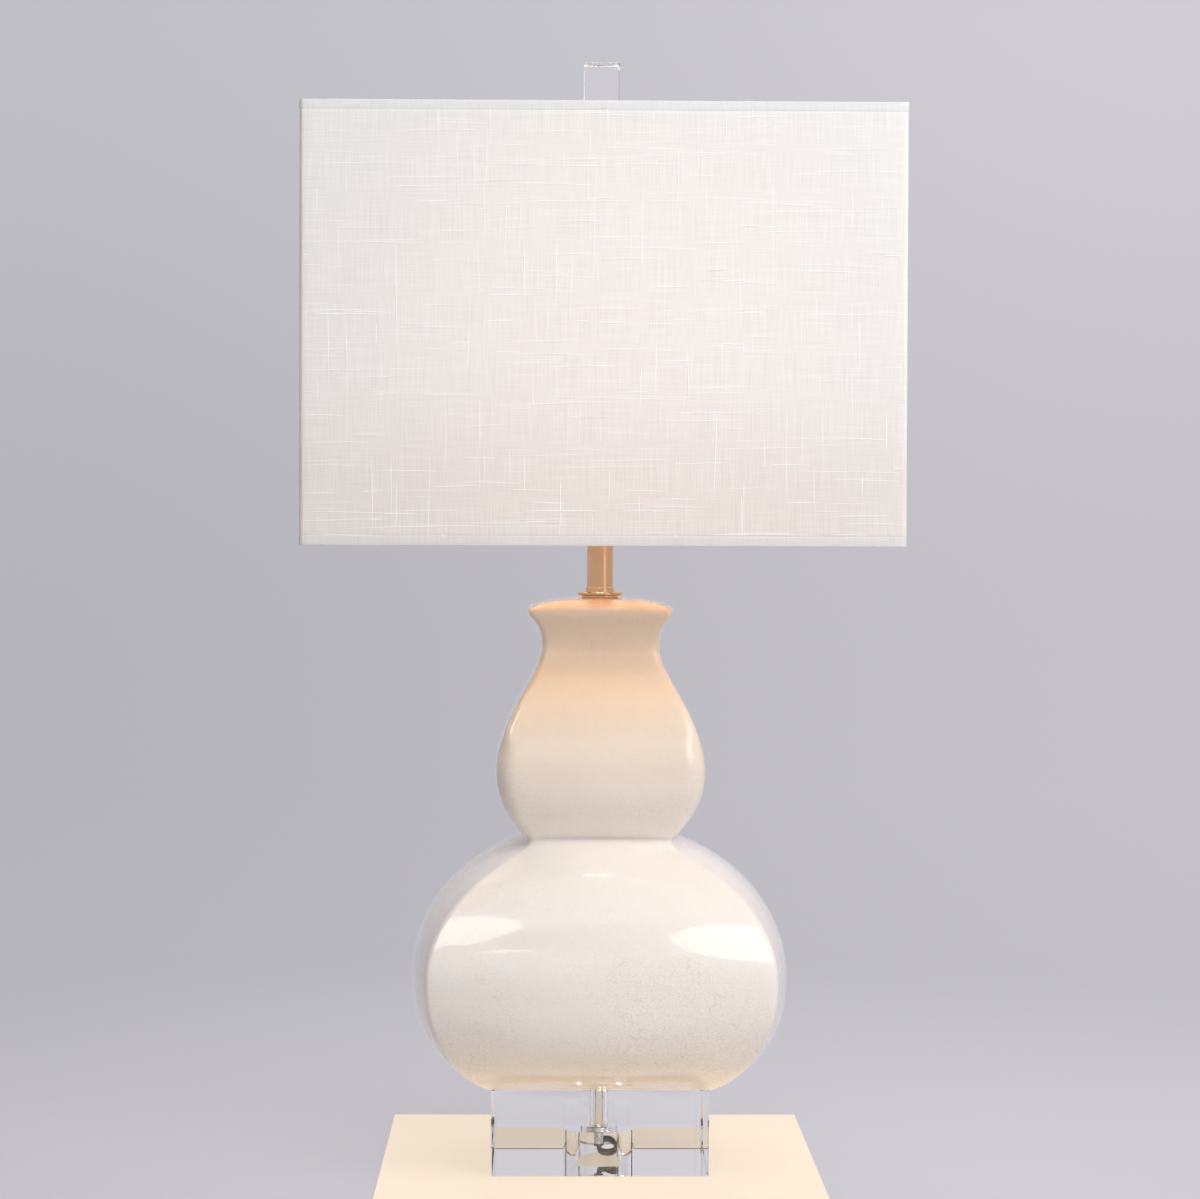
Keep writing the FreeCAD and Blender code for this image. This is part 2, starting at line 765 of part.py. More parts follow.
def build_neck():
    """Discs, collar and tube between the gourd and the socket."""
    pipe_hole = S.pipe_width + S.fit_gap
    turned(
        "seat_disc",
        DISC_SEAT,
        ring_outline(S.seat_disc_width, pipe_hole, S.seat_disc_thick, 0.4),
    )
    turned(
        "check_ring",
        CHECK_SEAT,
        ring_outline(S.check_ring_width, pipe_hole, S.check_ring_thick, 0.6),
    )
    tube_bore = S.neck_width - S.neck_wall * 2
    tube_hole = S.neck_width + S.fit_gap * 2
    height = S.collar_height
    turned(
        "neck_collar",
        COLLAR_SEAT,
        [
            (pipe_hole / 2, 0),
            (S.collar_width / 2, 0),
            (S.collar_width / 2, height - 0.4),
            (S.collar_width / 2 - 0.2, height),
            (tube_hole / 2, height),
            (tube_hole / 2, height / 2),
            (pipe_hole / 2, height / 2),
        ],
    )
    turned(
        "neck_tube",
        COLLAR_SEAT + height / 2,
        ring_outline(S.neck_width, tube_bore, S.neck_height + height / 2, 0.2),
    )


def build_saddle():
    """Bent strip under the socket cap, with a post at each end for the harp."""
    reach = S.saddle_reach
    pieces = [
        move(
            box("saddle_strip", reach * 2 + S.saddle_thick, S.saddle_strip, S.saddle_thick),
            x=-reach - S.saddle_thick / 2,
            y=-S.saddle_strip / 2,
        )
    ]
    for side, sign in (("left", -1), ("right", 1)):
        wing = box(f"saddle_wing_{side}", S.saddle_thick, S.saddle_strip, S.saddle_wing)
        pieces.append(
            move(wing, x=reach * sign - S.saddle_thick / 2, y=-S.saddle_strip / 2)
        )
        shoulder = cylinder(f"saddle_shoulder_{side}", S.shoulder_width / 2, S.saddle_thick)
        pieces.append(move(shoulder, x=reach * sign, z=S.saddle_wing - S.saddle_thick))
        post = cylinder(f"saddle_post_{side}", S.post_width / 2, S.post_height)
        pieces.append(move(post, x=reach * sign, z=S.saddle_wing))
    hole = cylinder("saddle_hole", (S.pipe_width + S.fit_gap) / 2, S.saddle_thick)
    saddle = cut("harp_saddle", fuse("saddle_body", pieces), hole)
    keep(saddle, "harp_saddle", z=NECK_TOP)


def build_socket():
    """Medium screw socket: cap, shell, liner, moulded core, screw shell and contact."""
    pipe_hole = (S.pipe_width + S.fit_gap) / 2
    outer = S.shell_width / 2 + S.fit_gap + S.cap_wall
    inner = S.shell_width / 2 + S.fit_gap
    skirt = S.cap_height - 7
    cap = turned_body(
        "cap_body",
        [
            (pipe_hole, 0),
            (S.boss_width / 2, 0),
            (S.boss_width / 2, S.boss_height - 1),
            (outer, skirt),
            (outer, S.cap_height),
            (inner, S.cap_height),
            (inner, S.cap_height - 5),
            (inner - 1, S.cap_height - 5),
            (inner - 1, skirt + 0.4),
            (S.boss_width / 2, S.boss_height),
            (pipe_hole, S.boss_height),
        ],
    )
    toward_right = Rotation(Vector(0, 1, 0), 90)
    screw_seat = move(cylinder("cap_screw_seat", 1.5, S.boss_width, toward_right), z=2)
    keep(cut("socket_cap", cap, screw_seat), "socket_cap", z=CAP_SEAT)
    screw = cylinder("cap_screw", 1.5, S.boss_width / 2 - pipe_hole, toward_right)
    keep(screw, "cap_screw", x=pipe_hole + 0.1, z=CAP_SEAT + 2)

    stem_axis = CORE_SEAT + S.core_height / 2
    toward_front = Rotation(Vector(1, 0, 0), 90)
    for name, seat, width, wall, height in (
        ("socket_shell", SHELL_SEAT, S.shell_width, S.shell_wall, S.shell_height),
        (
            "socket_liner",
            SHELL_SEAT + 0.5,
            S.shell_width - S.shell_wall * 2 - S.fit_gap,
            S.liner_wall,
            S.shell_height - 1,
        ),
    ):
        tube = cut(
            f"{name}_tube",
            cylinder(f"{name}_outer", width / 2, height),
            cylinder(f"{name}_bore", width / 2 - wall, height),
        )
        move(tube, z=seat)
        hole = cylinder(f"{name}_stem_hole", S.stem_width / 2 + 1, S.shell_width, toward_front)
        keep(cut(name, tube, move(hole, z=stem_axis)), name)

    core_width = S.shell_width - S.shell_wall * 2 - S.liner_wall * 2 - S.fit_gap * 2
    core = move(cylinder("core_body", core_width / 2, S.core_height), z=CORE_SEAT)
    stem_bore = cylinder(
        "core_stem_bore", S.stem_width / 2 + S.turn_gap, core_width, toward_front
    )
    move(stem_bore, y=-core_width / 6, z=stem_axis)
    keep(cut("socket_core", core, stem_bore), "socket_core")
    turned(
        "screw_shell",
        CORE_TOP,
        ring_outline(
            S.screw_bore + S.screw_wall * 2, S.screw_bore, S.screw_height, 0.1
        ),
    )
    turned(
        "centre_contact",
        CORE_TOP,
        [
            (0, 0),
            (S.contact_width / 2, 0),
            (S.contact_width / 2 - 0.6, S.contact_thick),
            (0, S.contact_thick),
        ],
    )
    inside = core_width / 3
    stem = cylinder("switch_stem", S.stem_width / 2, inside + S.stem_length, toward_front)
    keep(stem, "switch_stem", y=-core_width / 6 - S.rest_gap, z=stem_axis)
    stem_tip = -core_width / 6 - S.rest_gap - inside - S.stem_length
    knob = cylinder("knob_body", S.knob_width / 2, S.knob_length, toward_front)
    move(knob, y=stem_tip + S.knob_length - 2, z=stem_axis)
    socket_in_knob = cylinder(
        "knob_bore", S.stem_width / 2, S.knob_length - 2, toward_front
    )
    move(socket_in_knob, y=stem_tip + S.knob_length - 2, z=stem_axis)
    ribs = []
    for index in range(12):
        rib = cylinder(f"knob_flute_{index}", 0.7, S.knob_length, toward_front)
        angle = math.radians(30 * index)
        move(
            rib,
            x=S.knob_width / 2 * math.cos(angle),
            y=stem_tip + S.knob_length - 2,
            z=stem_axis + S.knob_width / 2 * math.sin(angle),
        )
        ribs.append(rib)
    fluted = cut("knob_fluted", knob, fuse("knob_flutes", ribs))
    keep(cut("switch_knob", fluted, socket_in_knob), "switch_knob")


def build_bulb():
    """Screw-in bulb: bottom contact, screw cap and glass."""
    cap = (S.screw_bore - S.turn_gap * 2) / 2
    tip = S.bulb_tip_width / 2
    turned(
        "bulb_contact",
        BULB_SEAT,
        [(0, 0), (tip - 1, 0), (tip, S.bulb_tip_height), (0, S.bulb_tip_height)],
    )
    turned(
        "bulb_cap",
        BULB_SEAT + S.bulb_tip_height,
        [
            (0, 0),
            (tip + 1, 0),
            (cap, as_size(4)),
            (cap, S.bulb_cap_height - 2),
            (S.glass_neck / 2 + 0.3, S.bulb_cap_height),
            (0, S.bulb_cap_height),
        ],
    )

    def glass(offset):
        radius = S.glass_width.value / 2 - offset
        neck = S.glass_neck.value / 2 - offset
        low = GLASS_SEAT.value + offset
        middle = Vector(0, 0, GLASS_SEAT.value + S.glass_height.value - S.glass_width.value / 2)
        slope = math.radians(40)
        meet = middle + Vector(radius * math.cos(slope), 0, -radius * math.sin(slope))
        drop = (meet.x - neck) / math.tan(slope)
        throat = Vector(neck, 0, meet.z - drop)
        crown = middle + Vector(0, 0, radius)
        beside = middle + Vector(radius, 0, 0)
        outline = [
            Part.LineSegment(Vector(0, 0, low), Vector(neck, 0, low)).toShape(),
            Part.LineSegment(Vector(neck, 0, low), throat).toShape(),
            Part.LineSegment(throat, meet).toShape(),
            Part.Arc(meet, beside, crown).toShape(),
            Part.LineSegment(crown, Vector(0, 0, low)).toShape(),
        ]
        face = Part.Face(Part.Wire(outline))
        return face.revolve(Vector(), Vector(0, 0, 1), 360)

    feature("bulb_glass", glass(0).cut(glass(S.glass_wall.value)))


# Harp.


def build_harp():
    """Sprung wire loop on the saddle's posts, its ferrules, and the swivel that carries the shade."""
    reach = S.saddle_reach.value
    wide = S.harp_reach.value
    wire = S.harp_wire.value
    low = POST_TOP.value + S.rest_gap.value
    plate_low = PLATE_TOP.value - S.plate_thick.value
    top = plate_low + S.plate_thick.value / 2
    legs = []
    for sign in (-1, 1):
        points = [
            Vector(sign * x, 0, z)
            for x, z in (
                (reach, low + S.ferrule_height.value / 2),
                (reach, low + 2.2 * S.ferrule_height.value),
                (wide, low + 0.36 * S.harp_height.value),
                (wide, low + 0.66 * S.harp_height.value),
                (0.72 * wide, low + 0.86 * S.harp_height.value),
                (S.plate_width.value / 2 + 9, top),
                (S.plate_width.value / 2 - 2, top),
            )
        ]
        path, _ = rounded_path(points)
        legs.append(tube_along(path, wire))
        legs.append(
            Part.makeCylinder(
                S.post_width.value / 2, S.ferrule_height.value / 2, Vector(sign * reach, 0, low)
            )
        )
    plate = Part.makeCylinder(S.plate_width.value / 2, S.plate_thick.value, Vector(0, 0, plate_low))
    hole = Part.makeCylinder(
        S.rivet_width.value / 2 + S.turn_gap.value,
        S.plate_thick.value + 2 * wire,
        Vector(0, 0, plate_low - wire),
    )
    feature("harp", plate.fuse(legs).cut(hole).removeSplitter())

    bore = S.post_width + S.turn_gap * 2
    for side, sign in (("left", -1), ("right", 1)):
        ferrule = cut(
            f"harp_ferrule_{side}",
            cylinder(f"ferrule_body_{side}", bore / 2 + S.ferrule_wall, S.ferrule_height),
            cylinder(f"ferrule_bore_{side}", bore / 2, S.ferrule_height),
        )
        keep(
            ferrule,
            f"harp_ferrule_{side}",
            x=S.saddle_reach * sign,
            z=SHOULDER_TOP + S.rest_gap,
        )
    flange = S.swivel_width / 2
    rivet = S.rivet_width / 2
    depth = S.plate_thick + S.turn_gap * 2
    head = 1.4
    turned(
        "swivel_stud",
        PLATE_TOP - S.plate_thick - S.turn_gap - head,
        [
            (0, 0),
            (rivet + 1, 0),
            (rivet + 1, as_size(head)),
            (rivet, as_size(head)),
            (rivet, depth + head),
            (flange, depth + head),
            (flange, depth + head + S.swivel_thick),
            (S.stud_width / 2, depth + head + S.swivel_thick),
            (S.stud_width / 2, depth + head + S.swivel_thick + S.stud_height),
            (0, depth + head + S.swivel_thick + S.stud_height),
        ],
    )


# Shade and finial.


def rounded_block(name, width, depth, corner):
    """A block as high as the shade, with rounded upright corners."""
    body = DOC.addObject("PartDesign::Body", name)
    outline = new_sketch(body, f"{name}_outline")
    add_rectangle(outline, width, depth)
    pad = add_pad(body, outline, S.shade_height)
    add_bevel(body, pad, "Fillet", upright, corner)
    return body


def build_sleeve(name, width, depth, corner, wall):
    """A rectangular sleeve with rounded corners, open above and below."""
    outside = rounded_block(f"{name}_outside", width, depth, corner)
    inside = rounded_block(f"{name}_inside", width - wall * 2, depth - wall * 2, corner - wall)
    keep(cut(name, outside, inside), name, z=SHADE_BOTTOM)


def frame_loop(level):
    """A closed wire rectangle that lies just inside the liner, and its half sides."""
    skin = S.linen_thick.value + S.liner_thick.value
    inset = skin + S.frame_wire.value / 2 + 0.1
    x = S.shade_width.value / 2 - inset
    y = S.shade_depth.value / 2 - inset
    bend = S.shade_corner.value + S.frame_wire.value
    inside = bend * (1 - math.sqrt(0.5))
    edges = []
    for quarter in range(4):
        turn = Rotation(Vector(0, 0, 1), 90 * quarter)
        far, near = (x, y) if quarter % 2 == 0 else (y, x)
        low = turn.multVec(Vector(far, bend - near, level))
        high = turn.multVec(Vector(far, near - bend, level))
        middle = turn.multVec(Vector(far - inside, near - inside, level))
        after = turn.multVec(Vector(far - bend, near, level))
        edges.append(Part.LineSegment(low, high).toShape())
        edges.append(Part.Arc(high, middle, after).toShape())
    return tube_along(edges, S.frame_wire.value), x, y


def build_shade():
    """Linen over a stiff liner, on a top frame with a dropped ring and a bottom frame."""
    build_sleeve("shade_linen", S.shade_width, S.shade_depth, S.shade_corner, S.linen_thick)
    build_sleeve(
        "shade_liner",
        S.shade_width - S.linen_thick * 2,
        S.shade_depth - S.linen_thick * 2,
        S.shade_corner - S.linen_thick,
        S.liner_thick,
    )
    inset = S.frame_inset.value
    rail = SHADE_TOP.value - inset
    ring_low = RING_SEAT.value
    loop, x, y = frame_loop(rail)
    arm_level = ring_low + S.ring_thick.value / 2
    arms = []
    for heading, reach in ((0, x), (90, y), (180, x), (270, y)):
        turn = Rotation(Vector(0, 0, 1), heading)
        points = [
            turn.multVec(Vector(S.ring_width.value / 2 - 2, 0, arm_level)),
            turn.multVec(Vector(reach - 18, 0, arm_level)),
            turn.multVec(Vector(reach, 0, rail)),
        ]
        path, _ = rounded_path(points)
        arms.append(tube_along(path, S.frame_wire.value * 0.8))
    ring = Part.makeCylinder(S.ring_width.value / 2, S.ring_thick.value, Vector(0, 0, ring_low))
    hole = Part.makeCylinder(S.ring_bore.value / 2, 3 * S.ring_thick.value, Vector(0, 0, ring_low - 2))
    feature("shade_top_frame", loop.fuse(arms).fuse(ring).cut(hole).removeSplitter())
    lower, _, _ = frame_loop(SHADE_BOTTOM.value + inset)
    feature("shade_bottom_frame", lower)


def build_finial():
    """Clear block on a turned metal base that screws down on the stud."""
    base = S.finial_base_width / 2
    bore = S.stud_width / 2 + S.turn_gap
    height = S.finial_base_height
    turned(
        "finial_base",
        FINIAL_SEAT,
        [
            (bore, 0),
            (base - 0.5, 0),
            (base, as_size(0.5)),
            (base, height - 4),
            (base - 1.5, height - 3.5),
            (base - 1.5, height - 2.5),
            (base, height - 2),
            (base, height),
            (0, height),
            (0, S.finial_bore_depth),
            (bore, S.finial_bore_depth),
        ],
    )
    body = DOC.addObject("PartDesign::Body", "finial_block")
    outline = new_sketch(body, "finial_outline")
    add_rectangle(outline, S.finial_width, S.finial_width)
    pad = add_pad(body, outline, S.finial_height)
    add_bevel(body, pad, "Chamfer", lambda edge: True, S.finial_edge)
    keep(body, "finial_block", z=FINIAL_BLOCK_SEAT)


# Cord, coil and plug.

# The cord inside the lamp: down the pipe, out at its lower end, round the recess to the right,
# and out through the channel in the rear of the block.
INNER_ROUTE = (
    (0, 0, 22),
    (0, 0, 5.5),
    (12.5, -1.5, 5.0),
    (19.5, 7, 7.0),
    (13.5, 16, 8.6),
    (4, 22, 9.0),
    (4, 76.2, 9.0),
)
# The free cord: out of the rear bushing, down to the table, and straight back to its coil.
LEAD_ROUTE = (
    (4, 76.2, 9.0),
    (4, 92, 8.6),
    (3.6, 112, 4.4),
    (4.2, 136, 2.7),
    (3.3, 172, 2.5),
    (4.5, 212, 2.5),
    (3.9, 250, 2.5),
    (5.2, 288, 2.9),
    (5.0, 316, 3.6),
    (5.0, 333, 3.6),
)
# From the coil's top layer down to the plug, which lies beside the coil.
TAIL_ROUTE = (
    (-23, 305, 20.1),
    (-9, 305.3, 19.2),
    (3, 308, 15.6),
    (14, 313.5, 11),
    (23, 316, 8.5),
    (32, 316, 8.5),
)


def cord_node(name, route):
    """One stretch of cord as straight runs joined by arcs."""
    path, radii = rounded_path([Vector(*point) for point in route])
    tube = tube_along(path, S.cord_width.value)
    print(name, "length", round(Part.Wire(path).Length, 1), "volume", round(tube.Volume))
    print("  arc radii", [round(radius, 1) for radius in radii])
    feature(name, tube)
    return Part.Wire(path).Length


def coil_point(turn):
    """Centre of the cord after so many turns of the coil."""
    span = COIL_TURNS / COIL_LAYERS
    layer = min(int(turn / span), COIL_LAYERS - 1)
    into = turn - layer * span
    pitch = S.coil_pitch.value
    inwards = into if layer % 2 == 0 else span - into
    radius = S.coil_outer.value - pitch * inwards
    height = S.cord_width.value / 2 + S.tie_thick.value + S.rest_gap.value
    for reversal in range(1, COIL_LAYERS):
        climbed = min(max(2 * (turn - reversal * span) + 0.5, 0), 1)
        height += pitch * climbed**2 * (3 - 2 * climbed)
    angle = 2 * math.pi * turn
    return COIL_CENTRE + Vector(radius * math.cos(angle), radius * math.sin(angle), height)


def least_gap(points, width, apart):
    """Smallest space between turns that lie further apart along the cord than a given length."""
    step = points[0].distanceToPoint(points[1])
    skip = int(apart / step) + 1
    nearest = min(
        one.distanceToPoint(other)
        for index, one in enumerate(points)
        for other in points[index + skip :]
    )
    return nearest - width


def build_coil():
    """The put-away cord: one unbroken tube that winds in and out again in four layers."""
    width = S.cord_width.value
    quarters = int(COIL_TURNS * 4)
    small = 1e-3
    edges = []
    knots = []
    for quarter in range(quarters + 1):
        turn = quarter / 4
        before = coil_point(max(turn - small, 0))
        after = coil_point(min(turn + small, COIL_TURNS))
        knots.append([coil_point(turn), (after - before).normalize()])
    knots[0][1] = Vector(0, 1, 0)
    knots[-1][1] = Vector(1, 0, 0)
    start = knots[0][0] - knots[0][1] * width
    end = knots[-1][0] + knots[-1][1] * width
    edges.append(Part.LineSegment(start, knots[0][0]).toShape())
    for (one, heading), (other, next_heading) in zip(knots, knots[1:]):
        edges.extend(biarc(one, heading, other, next_heading))
    edges.append(Part.LineSegment(knots[-1][0], end).toShape())
    wire = Part.Wire(edges)
    centres = wire.discretize(Distance=3.0)
    gap = least_gap(centres, width, 0.6 * 2 * math.pi * (S.coil_outer.value / 2))
    print("cord_coil length", round(wire.Length, 1), "least gap", round(gap, 2))
    print("  starts", start, "ends", end)
    feature("cord_coil", tube_along(edges, width))
    return wire.Length


def build_tie():
    """Strap round the coil, a little clear of its turns."""
    turns = [
        coil_point(whole + TIE_ANGLE / 360) - COIL_CENTRE for whole in range(1, int(COIL_TURNS) + 1)
    ]
    radii = [math.hypot(point.x, point.y) for point in turns]
    half = S.cord_width / 2 + S.rest_gap
    low = as_size(min(radii)) - half
    high = as_size(max(radii)) + half
    inner_height = S.coil_pitch * (COIL_LAYERS - 1) + S.cord_width + S.rest_gap * 2
    outer = box(
        "tie_outer",
        high - low + S.tie_thick * 2,
        S.tie_width,
        inner_height + S.tie_thick * 2,
    )
    inner = box("tie_inner", high - low, S.tie_width, inner_height)
    move(inner, x=S.tie_thick, z=S.tie_thick)
    tie = cut("coil_tie", outer, inner)
    turn = Rotation(Vector(0, 0, 1), TIE_ANGLE)
    tie.Placement.Rotation = turn
    corner = turn.multVec(Vector((low - S.tie_thick).value, -S.tie_width.value / 2, 0))
    keep(tie, "coil_tie", x=COIL_CENTRE.x + corner.x, y=COIL_CENTRE.y + corner.y)


def build_plug():
    """Two-blade plug, lying on its wide side."""
    body = DOC.addObject("PartDesign::Body", "plug_moulding")
    outline = new_sketch(body, "plug_outline")
    add_rectangle(outline, S.plug_length, S.plug_width)
    pad = add_pad(body, outline, S.plug_height)
    add_bevel(body, pad, "Fillet", lambda edge: True, 3.0)
    move(body, x=PLUG_ENTRY.x + S.boot_length + S.plug_length / 2, y=PLUG_ENTRY.y)
    boot = DOC.addObject("Part::Cone", "plug_boot")
    bind(boot, "Radius1", S.cord_width / 2 + 1.2)
    bind(boot, "Radius2", S.plug_height / 2 - 2.5)
    bind(boot, "Height", S.boot_length + 3)
    boot.Placement.Rotation = Rotation(Vector(0, 1, 0), 90)
    move(boot, x=PLUG_ENTRY.x, y=PLUG_ENTRY.y, z=S.plug_height / 2)
    keep(fuse("plug_body", [body, boot]), "plug_body")
    blades = []
    face = PLUG_ENTRY.x + S.boot_length + S.plug_length
    for side, sign in (("left", -1), ("right", 1)):
        blade = box(f"blade_{side}", S.blade_length, S.blade_thick, S.blade_width)
        move(
            blade,
            x=face,
            y=PLUG_ENTRY.y + S.blade_spread / 2 * sign - S.blade_thick / 2,
            z=S.plug_height / 2 - S.blade_width / 2,
        )
        blades.append(blade)
    hole = cylinder("blade_hole", 1.6, S.blade_spread * 2, Rotation(Vector(1, 0, 0), -90))
    move(
        hole,
        x=face + S.blade_length - 4.5,
        y=PLUG_ENTRY.y - S.blade_spread,
        z=S.plug_height / 2,
    )
    keep(cut("plug_blades", fuse("blade_pair", blades), hole), "plug_blades")


def build_cord():
    """Cord inside the lamp, free cord, coil, tie and plug."""
    top = Vector(0, 0, CORE_SEAT.value)
    path, radii = rounded_path([top] + [Vector(*point) for point in INNER_ROUTE[1:]])
    feature("cord_inner", tube_along(path, S.cord_width.value))
    print("cord_inner arc radii", [round(radius, 1) for radius in radii])
    free = cord_node("cord_lead", LEAD_ROUTE)
    free += build_coil()
    free += cord_node("cord_tail", TAIL_ROUTE)
    print("free cord, exit to plug", round(free, 1))
    build_tie()
    build_plug()


def check_everything():
    """Stop on any object that failed, before anything is written."""
    DOC.recompute()
    for item in DOC.Objects:
        if {"Invalid", "Error"} & set(item.State):
            raise RuntimeError(f"{item.Name} ({item.Label}) failed: {item.State}")
    for part in PARTS:
        if part.Shape.isNull() or not part.Shape.isValid() or not part.Shape.Solids:
            raise RuntimeError(f"{part.Label} has no sound shape")


def write_parts():
    """One STEP file for each piece, named after it."""
    os.makedirs("parts", exist_ok=True)
    for part in PARTS:
        part.Shape.exportStep(f"parts/{part.Label}.step")
    print(len(PARTS), "pieces")


build_block()
build_base_stack()
build_gourd()
build_neck()
build_saddle()
build_socket()
build_bulb()
build_harp()
build_shade()
build_finial()
build_cord()
check_everything()
write_parts()
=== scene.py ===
import math

import bpy
from mathutils import Matrix, Vector


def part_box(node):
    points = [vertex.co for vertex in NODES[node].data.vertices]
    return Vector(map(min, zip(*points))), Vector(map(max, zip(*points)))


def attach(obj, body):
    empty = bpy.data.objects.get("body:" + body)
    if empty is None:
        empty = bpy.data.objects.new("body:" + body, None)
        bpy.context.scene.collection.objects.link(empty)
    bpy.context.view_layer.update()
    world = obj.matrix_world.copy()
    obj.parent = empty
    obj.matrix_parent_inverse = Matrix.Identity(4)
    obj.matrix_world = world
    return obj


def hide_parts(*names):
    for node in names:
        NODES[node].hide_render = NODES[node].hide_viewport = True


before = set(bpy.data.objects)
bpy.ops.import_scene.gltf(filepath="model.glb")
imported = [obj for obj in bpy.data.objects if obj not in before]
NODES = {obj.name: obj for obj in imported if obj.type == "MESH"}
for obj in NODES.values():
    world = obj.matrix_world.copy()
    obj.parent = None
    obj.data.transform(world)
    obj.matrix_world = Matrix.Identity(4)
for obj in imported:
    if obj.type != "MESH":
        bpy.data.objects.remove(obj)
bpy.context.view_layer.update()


# Double gourd lamp. Lengths are metres, unless a section says otherwise.


def smooth_step(value):
    """From nought to one, eased at both ends."""
    value = min(max(value, 0), 1)
    return value**2 * (3 - 2 * value)


def new_object(name, data):
    """Put a camera, lamp, mesh or curve into the scene."""
    item = bpy.data.objects.new(name, data)
    bpy.context.collection.objects.link(item)
    return item


# Shader trees.


class Tree:
    """A shader tree, with short calls for the nodes that it often needs."""

    def __init__(self, tree):
        self.tree = tree

    def node(self, kind, **values):
        node = self.tree.nodes.new(f"ShaderNode{kind}")
        for key, value in values.items():
            setattr(node, key, value)
        return node

    def feed(self, node, socket, value):
        """Give a socket a plain value or another node's output."""
        if isinstance(value, bpy.types.NodeSocket):
            self.tree.links.new(value, node.inputs[socket])
        else:
            node.inputs[socket].default_value = value

    def math(self, operation, one, other):
        node = self.node("Math", operation=operation)
        self.feed(node, 0, one)
        self.feed(node, 1, other)
        return node.outputs[0]

    def ramp(self, value, low, high, start=0.0, end=1.0):
        """Stretch a value between two levels to a new range, eased at both ends."""
        span = self.node("MapRange", interpolation_type="SMOOTHSTEP")
        self.feed(span, "Value", value)
        self.feed(span, "From Min", low)
        self.feed(span, "From Max", high)
        self.feed(span, "To Min", start)
        self.feed(span, "To Max", end)
        return span.outputs[0]

    def split(self, place):
        """The X, Y and Z of a place."""
        node = self.node("SeparateXYZ")
        self.feed(node, 0, place)
        return node.outputs

    def mix(self, amount, one, other):
        """Blend of two colours."""
        node = self.node("Mix", data_type="RGBA")
        self.feed(node, 0, amount)
        self.feed(node, 6, one if isinstance(one, bpy.types.NodeSocket) else (*one, 1))
        self.feed(node, 7, other if isinstance(other, bpy.types.NodeSocket) else (*other, 1))
        return node.outputs[2]

    def blend(self, amount, one, other):
        """Blend of two shaders."""
        node = self.node("MixShader")
        for socket, value in enumerate((amount, one, other)):
            self.feed(node, socket, value)
        return node.outputs[0]

    def rays(self, *kinds):
        """One where any of the named rays looks, nought elsewhere."""
        path = self.node("LightPath")
        seen = path.outputs[kinds[0]]
        for kind in kinds[1:]:
            seen = self.math("MAXIMUM", seen, path.outputs[kind])
        return seen


class Finish(Tree):
    """A material under construction: one shader and the nodes that drive it."""

    def __init__(self, name, colour, roughness, metallic=0.0):
        self.material = bpy.data.materials.new(name)
        self.material.use_nodes = True
        super().__init__(self.material.node_tree)
        self.shader = self.tree.nodes["Principled BSDF"]
        self.set("Base Color", (*colour, 1))
        self.set("Roughness", roughness)
        self.set("Metallic", metallic)

    def set(self, socket, value):
        """Give one of the shader's sockets a plain value or a node's output."""
        self.feed(self.shader, socket, value)

    def place(self, stretch=(1, 1, 1), source="Object", offset=(0, 0, 0)):
        """Coordinates on the piece, stretched along its axes."""
        mapping = self.node("Mapping")
        self.feed(mapping, "Vector", self.node("TexCoord").outputs[source])
        self.feed(mapping, "Scale", stretch)
        self.feed(mapping, "Location", offset)
        return mapping.outputs[0]

    def noise(self, place, scale, detail):
        noise = self.node("TexNoise")
        self.feed(noise, "Vector", place)
        self.feed(noise, "Scale", scale)
        self.feed(noise, "Detail", detail)
        return noise.outputs["Fac"]

    def cracks(self, place, scale, wobble):
        """Distance to the nearest crack of a net of cells, with bent lines."""
        jitter = self.node("TexNoise")
        self.feed(jitter, "Vector", place)
        self.feed(jitter, "Scale", scale * 0.7)
        moved = self.node("VectorMath", operation="MULTIPLY_ADD")
        self.feed(moved, 0, jitter.outputs["Color"])
        self.feed(moved, 1, (wobble, wobble, wobble))
        self.feed(moved, 2, place)
        cells = self.node("TexVoronoi", feature="DISTANCE_TO_EDGE")
        self.feed(cells, "Vector", moved.outputs[0])
        self.feed(cells, "Scale", scale)
        return cells.outputs["Distance"]

    def colour(self, socket):
        self.set("Base Color", socket)

    def rough(self, socket):
        self.set("Roughness", socket)

    def bump(self, height, distance, strength):
        node = self.node("Bump")
        self.feed(node, "Height", height)
        self.feed(node, "Distance", distance)
        self.feed(node, "Strength", strength)
        self.set("Normal", node.outputs[0])


# Camera, lights, floor and backdrop.

CAMERA_PLACE = (-0.037, -2.2317, 0.447)
CAMERA_DOWN, CAMERA_LEAN = 1.3276, 0.2
LENS, SENSOR = 94.5, 36.0

WHITE = (1.0, 0.985, 0.97)
GOURD_MIDDLE = (0, 0, 0.17)
# Each lamp: name, azimuth and elevation in degrees, distance, size, glow, colour, aim.
SHOWN_LAMPS = (
    ("shown_left", -45, 47, 2.2, 1.38, 3.2),
    ("shown_right", 40, 36, 2.15, 1.56, 2.8),
    ("shown_ceiling", 0, 80, 2.4, (3.0, 2.0), 0.55, WHITE, (0, -0.15, 0.17)),
    ("strip_left", -15, 30.5, 2.0, (0.24, 0.065), 3.6),
    ("strip_right", 14.5, 30.5, 2.0, (0.09, 0.055), 3.6),
)
REAR_LAMP = ("soft_back", 180, 38, 2.6, (2.4, 1.6), 2.6, (0.96, 0.97, 1.0), (0, 0, 0.4))
BROAD_LAMPS = (
    ("soft_left", -45, 47, 2.2, 1.38, 1.65),
    ("soft_right", 43, 35, 2.15, 1.56, 3.75, (0.98, 0.985, 1.0)),
    ("soft_key", 6, 53, 2.3, (1.8, 0.8), 3.1, WHITE, (0, 0, 0.3)),
    ("soft_low", 0, 12, 2.6, (2.4, 1.0), 0.8),
    ("soft_side", 78, 22, 2.4, 1.2, 1.5),
)
